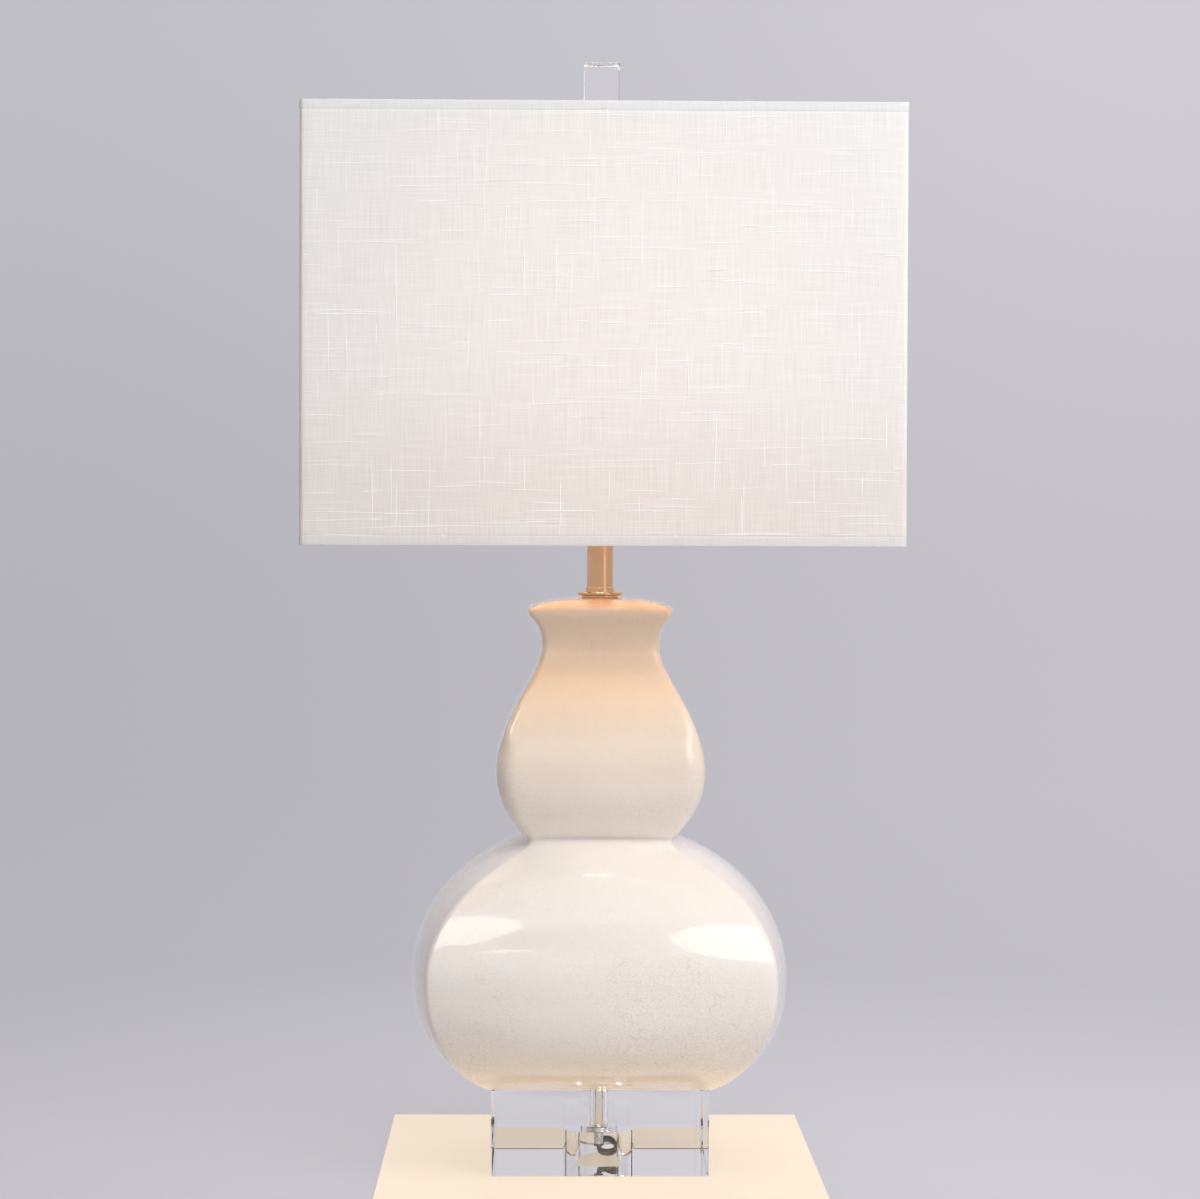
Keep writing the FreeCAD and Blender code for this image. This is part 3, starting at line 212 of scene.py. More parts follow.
BOUNCE_LAMP = ("floor_bounce", 0, 90, 0, (0.194, 0.194), 0.68, (1.0, 0.86, 0.66))
BOUNCE_LEVEL = -0.00015

ROOM_GLOW = 0.64
# The room in reflections: between two elevations in degrees its glow changes by so much.
ROOM_STEPS = ((0, 14, 0.28), (31, 37, -0.55))
BAND_SIDE, BAND_OUTSIDE, BAND_INSIDE, BAND_GLOW = 41, 14, 4, 0.45

# The set's tone is multiplied by this in reflections.
REFLECTED = 1.15
# The haze is painted light on the set: it fades out over these distances from the lamp,
# comes back in over these heights with a share of its strength, and takes a share off everywhere.
PAINTED_GLOW_AWAY, PAINTED_GLOW_ABOVE = (0.22, 1.1), (0.2, 1.4)
PAINTED_GLOW_HIGH, PAINTED_GLOW_LOSS = 0.55, 0.3
FLOOR_LEVEL, FLOOR_SIDE, FLOOR_FRONT, FLOOR_BACK = -0.0003, 0.152, -0.19, 0.155
UNDER_LEVEL, SET_REACH, WALL_BACK = -0.0007, 4, 3


def add_camera():
    """The photograph's viewpoint: far off, almost level with the shade's lower edge."""
    data = bpy.data.cameras.new("camera")
    data.sensor_width = SENSOR
    data.lens = LENS
    data.clip_end = 50
    camera = new_object("camera", data)
    camera.location = CAMERA_PLACE
    lean = Matrix.Rotation(math.radians(CAMERA_LEAN), 4, "Z")
    pitch = Matrix.Rotation(math.radians(90 - CAMERA_DOWN), 4, "X")
    yaw = Matrix.Rotation(math.atan2(CAMERA_PLACE[0], -CAMERA_PLACE[1]), 4, "Z")
    camera.rotation_euler = (yaw @ pitch @ lean).to_euler()
    bpy.context.scene.camera = camera


def softbox(name, azimuth, elevation, distance, size, glow, colour=WHITE, aim=GOURD_MIDDLE,
            hidden=()):
    """A lamp aimed at the object: a disc, or a rectangle when size has two values."""
    light = bpy.data.lights.new(name, "AREA")
    if isinstance(size, tuple):
        light.shape = "RECTANGLE"
        light.size, light.size_y = size
        area = size[0] * size[1]
    else:
        light.shape = "DISK"
        light.size = size
        area = math.pi * size**2 / 4
    light.energy = glow * math.pi * area
    light.color = colour
    lamp = new_object(name, light)
    side = math.radians(azimuth)
    rise = math.radians(elevation)
    offset = Vector(
        (math.sin(side) * math.cos(rise), -math.cos(side) * math.cos(rise), math.sin(rise))
    )
    lamp.location = Vector(aim) + offset * distance
    lamp.rotation_mode = "QUATERNION"
    lamp.rotation_quaternion = offset.to_track_quat("Z", "Y")
    for ray in ("camera", *hidden):
        setattr(lamp, f"visible_{ray}", False)
    return lamp


def add_lights():
    """Round softboxes that show in the glaze, and broad lamps that only light it."""
    for lamp in SHOWN_LAMPS:
        softbox(*lamp, hidden=("diffuse",))
    softbox(*REAR_LAMP, hidden=("transmission", "glossy"))
    for lamp in BROAD_LAMPS:
        softbox(*lamp, hidden=("glossy",))
    # Warm light from the floor, facing up from just under the block.
    bounce = softbox(*BOUNCE_LAMP, hidden=("glossy", "transmission"))
    bounce.location = (0, 0, BOUNCE_LEVEL)
    bounce.rotation_quaternion = (0, 1, 0, 0)


def add_world():
    """Even fill, the wall's grey where the world is seen, and a pale room in reflections."""
    world = bpy.data.worlds.new("studio")
    world.use_nodes = True
    tree = Tree(world.node_tree)
    fill = world.node_tree.nodes["Background"]
    tree.feed(fill, "Color", (0.93, 0.92, 0.945, 1))
    tree.feed(fill, "Strength", 0.24)
    shown = tree.node("Background")
    tree.feed(shown, "Color", (0.55, 0.54, 0.585, 1))
    room = tree.node("Background")
    tree.feed(room, "Color", (0.95, 0.94, 0.96, 1))
    direction = tree.node("TexCoord").outputs["Generated"]
    level = tree.split(direction)["Z"]
    glow = ROOM_GLOW
    for low, high, change in ROOM_STEPS:
        levels = (math.sin(math.radians(low)), math.sin(math.radians(high)))
        glow = tree.math("ADD", glow, tree.ramp(level, *levels, 0.0, change))
    # A tall bright place to the right, which the round metal parts show as a band.
    side = math.radians(BAND_SIDE)
    band = tree.node("VectorMath", operation="DOT_PRODUCT")
    tree.feed(band, 0, direction)
    tree.feed(band, 1, (math.sin(side), -math.cos(side), 0))
    edges = (math.cos(math.radians(BAND_OUTSIDE)), math.cos(math.radians(BAND_INSIDE)))
    glow = tree.math("ADD", glow, tree.ramp(band.outputs["Value"], *edges, 0.0, BAND_GLOW))
    tree.feed(room, "Strength", glow)
    glossy = tree.blend(tree.rays("Is Glossy Ray"), fill.outputs[0], room.outputs[0])
    seen = tree.rays("Is Camera Ray", "Is Transmission Ray")
    surface = tree.blend(seen, glossy, shown.outputs[0])
    tree.feed(world.node_tree.nodes["World Output"], "Surface", surface)
    bpy.context.scene.world = world
    bpy.context.scene.view_settings.view_transform = "Standard"


def shown_paint(name, colour, left, right, shadow, fade, through, haze):
    """Paint for the set: an even tone where it is looked at, with a share of real shadow.

    The tone turns paler from left to right across the view, as painted light from the right.
    The share of shadow fades out between the two distances from the lamp in fade. Seen through
    clear plastic the tone is changed by through, painted shade behind the block. The haze is
    painted light: it makes the tone paler close to the lamp and far above it.
    """
    paint = Finish(name, colour, 0.85)
    light = paint.node("Emission")
    place = paint.node("TexCoord").outputs["Object"]
    axes = paint.split(place)
    paint.feed(light, "Color", paint.mix(paint.ramp(axes["X"], -1.0, 1.0), left, right))
    length = paint.node("VectorMath", operation="LENGTH")
    paint.feed(length, 0, place)
    away = length.outputs["Value"]
    close = paint.ramp(away, *PAINTED_GLOW_AWAY, haze, 0.0)
    above = paint.ramp(axes["Z"], *PAINTED_GLOW_ABOVE, 0.0, haze * PAINTED_GLOW_HIGH)
    strength = paint.math("ADD", paint.math("ADD", close, above), 1.0 - haze * PAINTED_GLOW_LOSS)
    for ray, change in (("Is Transmission Ray", through), ("Is Glossy Ray", REFLECTED)):
        factor = paint.ramp(paint.rays(ray), 0.0, 1.0, 1.0, change)
        strength = paint.math("MULTIPLY", strength, factor)
    paint.feed(light, "Strength", strength)
    share = paint.ramp(away, *fade, shadow, 0.0)
    lit = paint.shader.outputs[0]
    seen = paint.rays("Is Camera Ray", "Is Glossy Ray", "Is Transmission Ray")
    surface = paint.blend(seen, lit, paint.blend(share, light.outputs[0], lit))
    paint.feed(paint.tree.nodes["Material Output"], "Surface", surface)
    return paint.material


def stage_plane(name, corners, paint):
    """One flat sheet of the set."""
    mesh = bpy.data.meshes.new(name)
    mesh.from_pydata(corners, [], [tuple(range(len(corners)))])
    mesh.materials.append(paint)
    plane = new_object(name, mesh)


def floor_corners(side, front, back, level):
    return [(-side, front, level), (side, front, level), (side, back, level), (-side, back, level)]


def add_stage():
    """Cream floor under the lamp, and the grey floor and wall round it."""
    cream = shown_paint(
        "cream_floor",
        (0.93, 0.80, 0.65),
        left=(1.04, 0.885, 0.71),
        right=(1.06, 0.91, 0.735),
        shadow=0.3,
        fade=(1, 2),
        through=0.575,
        haze=0.0,
    )
    grey = shown_paint(
        "grey_backdrop",
        (0.52, 0.505, 0.545),
        left=(0.50, 0.49, 0.53),
        right=(0.595, 0.575, 0.625),
        shadow=0.3,
        fade=(0.35, 1.2),
        through=0.975,
        haze=0.24,
    )
    stage_plane("floor", floor_corners(FLOOR_SIDE, FLOOR_FRONT, FLOOR_BACK, FLOOR_LEVEL), cream)
    round_about = floor_corners(SET_REACH, -SET_REACH, WALL_BACK, UNDER_LEVEL)
    stage_plane("floor_round", round_about, grey)
    wall = [
        (side, WALL_BACK, level)
        for side, level in (
            (-SET_REACH, UNDER_LEVEL),
            (SET_REACH, UNDER_LEVEL),
            (SET_REACH, SET_REACH),
            (-SET_REACH, SET_REACH),
        )
    ]
    stage_plane("wall", wall, grey)


# Finishes.

BULB_MIDDLE, GLOW_REACH, GLOW_CORE = (0, 0, 0.565), 0.26, 0.1
# Heights between which the cloth's tone turns from cool to darker and warmer: painted shade
# and painted warm light towards the lower edge.
CLOTH_PAINTED_SHADE_TURN = (0.56, 0.46)
# Most of a noise's values lie between these.
NOISE_SPAN = (0.3, 0.7)


def crackle_glaze():
    """Ivory glaze, thick and glossy, with a fine net of cracks that is plainest low down.
    The upper swelling, neck and throat are painted darker and warmer, and the foot glows warm:
    painted shade and painted warm light.
    """
    finish = Finish("crackle_glaze", (0.90, 0.84, 0.77), 0.014)
    finish.set("IOR", 1.54)
    finish.set("Coat Weight", 0.4)
    finish.set("Coat Roughness", 0.01)
    place = finish.place()
    level = finish.split(place)["Z"]
    flat = finish.place((1, 1, 1.5))
    fine = finish.ramp(finish.cracks(flat, 330, 0.0012), 0.0, 0.07, 1.0, 0.0)
    wide = finish.ramp(finish.cracks(flat, 105, 0.004), 0.0, 0.022, 1.0, 0.0)
    patches = finish.ramp(finish.noise(place, 9, 3), 0.36, 0.62, 0.35, 1.0)
    low_down = finish.ramp(level, 0.17, 0.14, 0.4, 1.0)
    middle = finish.ramp(level, 0.30, 0.28, 0.4, 0.8)
    higher = finish.ramp(level, 0.235, 0.25)
    where = finish.math("MAXIMUM", low_down, finish.math("MULTIPLY", middle, higher))
    net = finish.math("MAXIMUM", finish.math("MULTIPLY", fine, 0.75), wide)
    net = finish.math("MULTIPLY", finish.math("MULTIPLY", net, patches), where)
    cloud = finish.noise(place, 26, 4)
    body = finish.mix(cloud, (0.885, 0.82, 0.745), (0.94, 0.88, 0.81))
    # Painted shade and painted warm light: the upper swelling under the shade is tinted darker and
    # warmer, and the throat warm orange, for the bulb's light on it.
    neck = finish.mix(cloud, (0.795, 0.665, 0.53), (0.85, 0.72, 0.59))
    throat = finish.mix(cloud, (0.89, 0.695, 0.50), (0.94, 0.745, 0.55))
    neck = finish.mix(finish.ramp(level, 0.295, 0.335), neck, throat)
    body = finish.mix(finish.ramp(level, 0.22, 0.305), body, neck)
    finish.colour(finish.mix(finish.math("MULTIPLY", net, 0.40), body, (0.50, 0.44, 0.385)))
    # Painted light: the glaze glows warm near the foot, for light that comes up through the
    # clear block and warms it.
    finish.set("Emission Color", (1.0, 0.62, 0.26, 1))
    finish.set("Emission Strength", finish.ramp(level, 0.088, 0.062, 0.0, 0.105))
    waves = finish.noise(finish.place((1, 1, 1.6)), 34, 2)
    finish.bump(finish.math("SUBTRACT", waves, finish.math("MULTIPLY", net, 0.12)), 0.0011, 0.35)
    return finish.material


def clear_acrylic(name, tint):
    """Polished clear block, with the faintest ripple."""
    finish = Finish(name, tint, 0.0)
    finish.set("IOR", 1.49)
    finish.set("Transmission Weight", 1.0)
    finish.bump(finish.noise(finish.place(), 18, 1), 0.0002, 0.12)
    return finish.material


def clear_vinyl():
    """Soft clear bushing, a little cloudy."""
    finish = Finish("clear_vinyl", (0.96, 0.96, 0.95), 0.12)
    finish.set("IOR", 1.46)
    finish.set("Transmission Weight", 1.0)
    haze = finish.noise(finish.place(), 160, 2)
    finish.rough(finish.ramp(haze, *NOISE_SPAN, 0.06, 0.2))
    return finish.material


def chrome_painted_reflection():
    # Chrome tinted warm: a painted reflection of the cream floor round the block.
    finish = Finish("chrome_painted_reflection", (0.84, 0.78, 0.70), 0.05, 1.0)
    finish.rough(finish.ramp(finish.noise(finish.place(), 60, 3), 0.35, 0.7, 0.03, 0.11))
    return finish.material


def moulded_dark(name, colour, roughness):
    """Dark moulded plastic or rubber with a fine skin."""
    finish = Finish(name, colour, roughness)
    skin = finish.noise(finish.place(), 900, 2)
    lighter = tuple(part * 1.6 + 0.01 for part in colour)
    finish.colour(finish.mix(finish.noise(finish.place(), 70, 3), colour, lighter))
    finish.rough(finish.ramp(skin, *NOISE_SPAN, roughness - 0.08, roughness + 0.1))
    finish.bump(skin, 0.00006, 0.5)
    return finish.material


def grained(name, dark, light, rough, scale, detail, rougher=None, stretch=(1, 1, 1),
            metallic=0.0, bump=None):
    """A finish with one grain, which its tone follows, and its shine and skin where given."""
    finish = Finish(name, dark, rough, metallic)
    grain = finish.noise(finish.place(stretch), scale, detail)
    finish.colour(finish.mix(grain, dark, light))
    if rougher:
        finish.rough(finish.ramp(grain, *NOISE_SPAN, rough, rougher))
    if bump:
        finish.bump(grain, *bump)
    return finish


def nickel_painted_warm_light(name, rough):
    """Nickel tinted copper, painted warm light from the bulb,
    with the faint cloudiness of handling.
    """
    finish = grained(
        name,
        dark=(0.795, 0.465, 0.265),
        light=(0.835, 0.505, 0.305),
        rough=rough - 0.02,
        rougher=rough + 0.03,
        scale=55,
        detail=3,
        metallic=1.0,
    )
    return finish.material


def frosted_glass():
    """Bulb glass: frosted inside, glowing warm, and paler and weaker in reflections."""
    dark, light = (0.93, 0.90, 0.86), (0.98, 0.96, 0.93)
    finish = grained("frosted_glass", dark, light, rough=0.35, scale=40, detail=3)
    finish.set("IOR", 1.5)
    reflected = finish.rays("Is Glossy Ray")
    finish.set("Emission Color", finish.mix(reflected, (1.0, 0.52, 0.2), (1.0, 0.86, 0.7)))
    finish.set("Emission Strength", finish.ramp(reflected, 0.0, 1.0, 15.0, 5.0))
    return finish.material


def painted_bulb_glow(finish, strength):
    """Painted light: a warm glow on the cloth for the bulb's light that comes through the shade,
    strongest level with the bulb.
    """
    away = finish.node("VectorMath", operation="DISTANCE")
    finish.feed(away, 0, finish.place())
    finish.feed(away, 1, BULB_MIDDLE)
    finish.set("Emission Color", (1.0, 0.52, 0.40, 1))
    glow = finish.ramp(away.outputs["Value"], GLOW_REACH, GLOW_CORE, 0.0, strength)
    finish.set("Emission Strength", glow)


def threads(finish, stretch, offset=(0, 0, 0)):
    """Drawn-out noise along the cloth's own coordinates."""
    return finish.noise(finish.place(stretch, "UV", offset), 1.0, 1)


def weave(finish, length, warp_share, low, high, upper, lower):
    """Threads both ways and the cloth's tone on them, which turns darker and warmer towards the
    lower edge as painted shade and painted warm light.
    """
    warp = finish.math("MULTIPLY", threads(finish, (1400, length, 1)), warp_share)
    weft = finish.math("MULTIPLY", threads(finish, (length, 1500, 1)), 1 - warp_share)
    both = finish.math("ADD", warp, weft)
    shown = finish.ramp(both, low, high)
    # Painted shade and painted warm light: darker, warmer tones towards the lower edge.
    down = finish.ramp(finish.split(finish.place())["Z"], *CLOTH_PAINTED_SHADE_TURN)
    return both, finish.mix(down, finish.mix(shown, *upper), finish.mix(shown, *lower))


def slub_linen():
    """White linen: close upright threads, with faint thick ones both ways."""
    finish = Finish("slub_linen", (0.83, 0.815, 0.80), 0.85)
    finish.set("Sheen Weight", 0.12)
    finish.set("Sheen Roughness", 0.5)
    # The lower tones are painted shade and painted warm light.
    cloth, ground = weave(
        finish,
        length=30,
        warp_share=0.6,
        low=0.32,
        high=0.66,
        upper=((0.79, 0.763, 0.73), (0.865, 0.838, 0.805)),
        lower=((0.755, 0.698, 0.645), (0.83, 0.773, 0.72)),
    )
    level = finish.ramp(threads(finish, (15, 760, 1), (3, 7, 0)), 0.66, 0.76)
    upright = finish.ramp(threads(finish, (760, 13, 1), (5, 1, 0)), 0.67, 0.78)
    slubs = finish.math("MAXIMUM", level, finish.math("MULTIPLY", upright, 0.7))
    finish.colour(finish.mix(finish.math("MULTIPLY", slubs, 0.45), ground, (0.93, 0.925, 0.92)))
    finish.bump(finish.math("ADD", cloth, finish.math("MULTIPLY", slubs, 0.6)), 0.0004, 0.35)
    # Painted warm glow of the bulb through the shade.
    painted_bulb_glow(finish, 0.085)
    return finish.material


def slub_yarn():
    """Thick soft yarn, whiter than the ground of the cloth."""
    dark, light = (0.935, 0.93, 0.92), (0.985, 0.98, 0.97)
    finish = grained(
        "slub_yarn", dark, light, rough=0.8, scale=1400, detail=2, bump=(0.0001, 0.3)
    )
    finish.set("Sheen Weight", 0.15)
    # Painted warm glow of the bulb through the shade.
    painted_bulb_glow(finish, 0.06)
    return finish.material


def hem_tape():
    """The same linen, folded over as a narrow hem and a shade cooler."""
    finish = Finish("hem_tape", (0.77, 0.785, 0.785), 0.85)
    # The lower tones are painted shade and painted warm light.
    cloth, tone = weave(
        finish,
        length=60,
        warp_share=0.5,
        low=0.35,
        high=0.65,
        upper=((0.735, 0.745, 0.735), (0.80, 0.805, 0.795)),
        lower=((0.71, 0.69, 0.665), (0.77, 0.75, 0.725)),
    )
    finish.colour(tone)
    finish.bump(cloth, 0.0004, 0.35)
    # Painted warm glow of the bulb through the shade.
    painted_bulb_glow(finish, 0.05)
    return finish.material


# Meshes.


def new_piece(name, points, faces, material, body, uvs=None):
    """A closed mesh that rides on a body, with the given finish."""
    mesh = bpy.data.meshes.new(name)
    mesh.from_pydata(points, [], faces)
    if uvs:
        layer = mesh.uv_layers.new(name="cloth")
        for loop in mesh.loops:
            layer.data[loop.index].uv = uvs[loop.vertex_index]
    mesh.materials.append(material)
    for face in mesh.polygons:
        face.use_smooth = True
    piece = new_object(name, mesh)
    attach(piece, body)
    return piece


def tube_faces(rings, around):
    """Quads between rings of points, all rings closed."""
    faces = []
    for ring in range(rings - 1):
        for step in range(around):
            a = ring * around + step
            b = ring * around + (step + 1) % around
            faces.append((a, b, b + around, a + around))
    return faces


class Growth:
    """A tree of geometry nodes with named inputs, run once on a base mesh."""

    def __init__(self, name, **inputs):
        self.group = bpy.data.node_groups.new(name, "GeometryNodeTree")
        sockets = self.group.interface
        sockets.new_socket("Geometry", in_out="OUTPUT", socket_type="NodeSocketGeometry")
        sockets.new_socket("Geometry", in_out="INPUT", socket_type="NodeSocketGeometry")
        self.values = {}
        for label, value in inputs.items():
            title = label.replace("_", " ").capitalize()
            kind = "Float"
            if isinstance(value, bpy.types.Material):
                kind = "Material"
            elif isinstance(value, int):
                kind = "Int"
            socket = sockets.new_socket(title, in_out="INPUT", socket_type=f"NodeSocket{kind}")
            self.values[socket.identifier] = value
        self.inputs = self.group.nodes.new("NodeGroupInput").outputs

    def node(self, kind, feeds=None, **values):
        """Add a node, set its properties and feed its sockets, by name or number."""
        node = self.group.nodes.new(kind)
        for key, value in values.items():
            setattr(node, key, value)
        for socket, value in (feeds or {}).items():
            if isinstance(value, bpy.types.NodeSocket):
                self.group.links.new(value, node.inputs[socket])
            else:
                node.inputs[socket].default_value = value
        return node

    def math(self, operation, *parts):
        node = self.node("ShaderNodeMath", dict(enumerate(parts)), operation=operation)
        return node.outputs[0]

    def split(self, place):
        """The X, Y and Z of a place."""
        return self.node("ShaderNodeSeparateXYZ", {0: place}).outputs

    def vector(self, operation, *parts):
        node = self.node("ShaderNodeVectorMath", dict(enumerate(parts)), operation=operation)
        return node.outputs["Vector"]

    def chance(self, low, high, salt):
        """A random number for each point; the salt keeps one draw apart from the next."""
        node = self.node(
            "FunctionNodeRandomValue",
            {"Seed": self.math("ADD", self.inputs["Seed"], salt), 2: low, 3: high},
            data_type="FLOAT",
        )
        return node.outputs[1]

    def bake(self, geometry, base, name, body):
        """Finish the tree, run it on the base mesh and keep the result as a plain piece."""
        solid = self.node("GeometryNodeRealizeInstances", {"Geometry": geometry})
        smooth = self.node("GeometryNodeSetShadeSmooth", {"Geometry": solid.outputs[0]})
        coated = self.node(
            "GeometryNodeSetMaterial",
            {"Geometry": smooth.outputs[0], "Material": self.inputs["Material"]},
        )
        self.node("NodeGroupOutput", {0: coated.outputs[0]})
        holder = new_object(name + "_base", base)
        modifier = holder.modifiers.new("growth", "NODES")
        modifier.node_group = self.group
        for identifier, value in self.values.items():
            modifier[identifier] = value
        seen = holder.evaluated_get(bpy.context.evaluated_depsgraph_get())
        mesh = bpy.data.meshes.new_from_object(seen)
        bpy.data.objects.remove(holder)
        piece = new_object(name, mesh)
        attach(piece, body)
        return piece


# Glazed double gourd. Millimetres here, as in the part's own sizes.

FOOT, FOOT_ROUND, RIM, LID_RISE, LID_FLAT = 60.0, 1.6, 388.0, 8.7, 18.0
DOME_EASE = 0.12
RIM_EDGE, RIM_FLARE, FLARE_START = 3, 10.0, 0.75
THROAT_SPAN = 36
# The ridges' rounding, what it gains on the upper swelling, and where the gain starts and ends:
# each a level, and over how many millimetres.
RIDGE, RIDGE_SOFT = 5.0, 9
RIDGE_UP, RIDGE_DOWN = (222, 40), (290, 20)
# Outward bow of the lid's sides, and the least bow that any section gets.
LID_BOW, LEAST_BOW = 0.06, 0.004
SKIN_STEPS, FOOT_STEPS, LID_STEPS = 170, 4, 14
SIDE_STEPS, RIDGE_STEPS = 28, 7

# The body's half width at its ridges and at the middle of its faces: levels and half widths
# of the two swellings and of what joins them, with the powers that shape them.
CORNER_LINE = {
    "belly": 139.5,
    "belly_half": 117.2,
    "foot": 76.0,
    "power": 2.27,
    "up": 0.645,
    "bulb": 278.5,
    "bulb_half": 68.8,
    "bulb_up": 0.85,
    "bulb_power": 1.51,
    "bulb_down": 0.471,
    "crease": 12.4,
    "throat": 38.6,
    "softness": 5.4,
}
SIDE_LINE = {
    "belly": 132.8,
    "belly_half": 131.5,
    "foot": 75.6,
    "power": 2.75,
    "up": 0.765,
    "bulb": 269.5,
    "bulb_half": 72.1,
    "bulb_up": 0.762,
    "bulb_power": 1.85,
    "bulb_down": 0.3804,
    "crease": 0.1,
    "throat": 40.0,
    "softness": 8.6,
}


def dome(level, middle, half, above, above_power, below, below_power):
    """Half width of one swelling, eased so that its widest line shows no crease."""
    reach, power = (above, above_power) if level > middle else (below, below_power)
    away = min(abs(level - middle) / reach, 1)
    least = DOME_EASE**power
    most = (1 + DOME_EASE**2) ** (power / 2) - least
    eased = ((away**2 + DOME_EASE**2) ** (power / 2) - least) / most
    return half * max(1 - eased, 0) ** (1 / power)


def blend_max(one, other, softness):
    return (one + other) / 2 + math.sqrt(((one - other) / 2) ** 2 + softness**2)


def gourd_width(level, belly, belly_half, foot, power, up, bulb, bulb_half, bulb_up,
                bulb_power, bulb_down, crease, throat, softness):
    """Half width of the gourd at a level, from its two swellings, its throat and its rim."""
    below = (belly - FOOT) / (1 - (foot / belly_half) ** power) ** (1 / power)
    rise = bulb - belly
    low = dome(level, belly, belly_half, up * rise, 2, below, power)
    high = dome(level, bulb, bulb_half, bulb_up * (RIM - bulb), bulb_power, bulb_down * rise, 2)
    top = RIM - RIM_EDGE - bulb
    climb = max(level - bulb - FLARE_START * top, 0) / (top - FLARE_START * top)
    tube = throat * smooth_step((level - bulb) / THROAT_SPAN + 0.5)
    flare = RIM_FLARE * min(climb, 1) ** 3
    return blend_max(blend_max(low, high, crease), tube + flare, softness)


def widths(level):
    """Half widths of the section at a level: at its ridges and at the middle of its faces."""
    return gourd_width(level, **CORNER_LINE), gourd_width(level, **SIDE_LINE)


def ridge_round(level):
    """The ridges are crisp on the belly and softer round the upper swelling."""
    up, down = (smooth_step((level - start) / span) for start, span in (RIDGE_UP, RIDGE_DOWN))
    return RIDGE + RIDGE_SOFT * (up - down)


def bowed_square(corner, side, rounding, level):
    """Points round a square section with bowed sides and rounded ridges."""
    bow = max(side - corner, LEAST_BOW * corner)
    radius = (corner**2 + bow**2) / (2 * bow)
    centre = corner + bow - radius
    ridge = (centre + math.sqrt(2 * (radius - rounding) ** 2 - centre**2)) / 2
    spread = math.atan2(ridge, ridge - centre)
    quarter = []
    for step in range(SIDE_STEPS):
        angle = spread * (2 * step / SIDE_STEPS - 1)
        quarter.append((centre + radius * math.cos(angle), radius * math.sin(angle)))
    for step in range(RIDGE_STEPS):
        angle = spread + (math.pi / 2 - 2 * spread) * step / RIDGE_STEPS
        quarter.append((ridge + rounding * math.cos(angle), ridge + rounding * math.sin(angle)))
    return [
        ((x * cosine - y * sine) / 1000, (x * sine + y * cosine) / 1000, level / 1000)
        for cosine, sine in ((1, 0), (0, 1), (-1, 0), (0, -1))
        for x, y in quarter
    ]


def add_gourd(material):
    """The glazed body as one smooth closed skin."""
    rings = []
    for step in range(FOOT_STEPS + 1):
        angle = math.pi / 2 * step / FOOT_STEPS
        inset = FOOT_ROUND * (1 - math.sin(angle))
        level = FOOT + FOOT_ROUND * (1 - math.cos(angle))
        corner, side = widths(level)
        rings.append(bowed_square(corner - inset, side - inset, RIDGE, level))
    start = FOOT + FOOT_ROUND
    for step in range(1, SKIN_STEPS + 1):
        level = start + (RIM - start) * step / SKIN_STEPS
        rings.append(bowed_square(*widths(level), ridge_round(level), level))
    corner, side = widths(RIM)
    last = math.acos(LID_FLAT / corner)
    for step in range(1, LID_STEPS + 1):
        angle = step / LID_STEPS * last
        shrink = math.cos(angle)
        bow = LID_BOW * corner * math.sin(angle)
        level = RIM + LID_RISE * math.sin(angle) / math.sin(last)
        rings.append(
            bowed_square(corner * shrink - bow, side * shrink + bow, RIDGE * shrink, level)
        )
    around = len(rings[0])
    points = [point for ring in rings for point in ring]
    faces = tube_faces(len(rings), around)
    top = len(points) - around
    foot_middle, top_middle = len(points), len(points) + 1
    points += [(0, 0, FOOT / 1000), (0, 0, (RIM + LID_RISE) / 1000)]
    for step in range(around):
        after = (step + 1) % around
        faces.append((foot_middle, after, step))
        faces.append((top_middle, top + step, top + after))
    gourd = new_piece("gourd_glaze", points, faces, material, "lamp")
    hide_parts("gourd_body")


# Washer. Millimetres.

WASHER_HOLE = 5.15
LATHE_STEPS = 96


def lathe_piece(name, outline, material, body):
    """A closed ring turned about the lamp's axis; outline gives (radius, height) pairs."""
    points = []
    for radius, level in outline:
        for step in range(LATHE_STEPS):
            angle = 2 * math.pi * step / LATHE_STEPS
            points.append(
                (radius * math.cos(angle) / 1000, radius * math.sin(angle) / 1000, level / 1000)
            )
    faces = tube_faces(len(outline), LATHE_STEPS)
    last = (len(outline) - 1) * LATHE_STEPS
    for step in range(LATHE_STEPS):
        after = (step + 1) % LATHE_STEPS
        faces.append((last + step, last + after, after, step))
    return new_piece(name, points, faces, material, body)


def add_washer(material):
    """Dished washer: a raised middle carries the tube, and its rim stays clear of the block."""
    low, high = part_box("base_washer")
    bottom, top = low[2] * 1000, high[2] * 1000
    edge = (high[0] - low[0]) * 500
    outline = [
        (WASHER_HOLE + 0.3, bottom),
        (edge - 0.4, bottom),
        (edge - 0.1, bottom + 0.15),
        (edge, bottom + 0.5),
        (edge - 0.1, top - 0.6),
        (edge - 0.5, top - 0.3),
        (edge - 1.2, top - 0.22),
        (6.6, top - 0.22),
        (6.4, top - 0.2),
        (6.3, top),
        (WASHER_HOLE + 0.2, top),
        (WASHER_HOLE, top - 0.2),
        (WASHER_HOLE, bottom + 0.3),
    ]
    washer = lathe_piece("dished_washer", outline, material, "lamp")
    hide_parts("base_washer")


# Shade.

SHADE_LOW, SHADE_HIGH = 0.43428, 0.73048
SHADE_HALF = (0.2032, 0.127)
SHADE_CORNER = 0.003
CLOTH_THICK, CLOTH_ROWS, CLOTH_STEP, CORNER_STEPS = 0.0009, 34, 0.004, 4
HEM_WIDTH, HEM_THICK, HEM_OVER = 0.0062, 0.0002, 0.0003
SEAM_ROWS, SEAM_SUNK = 60, 0.0004
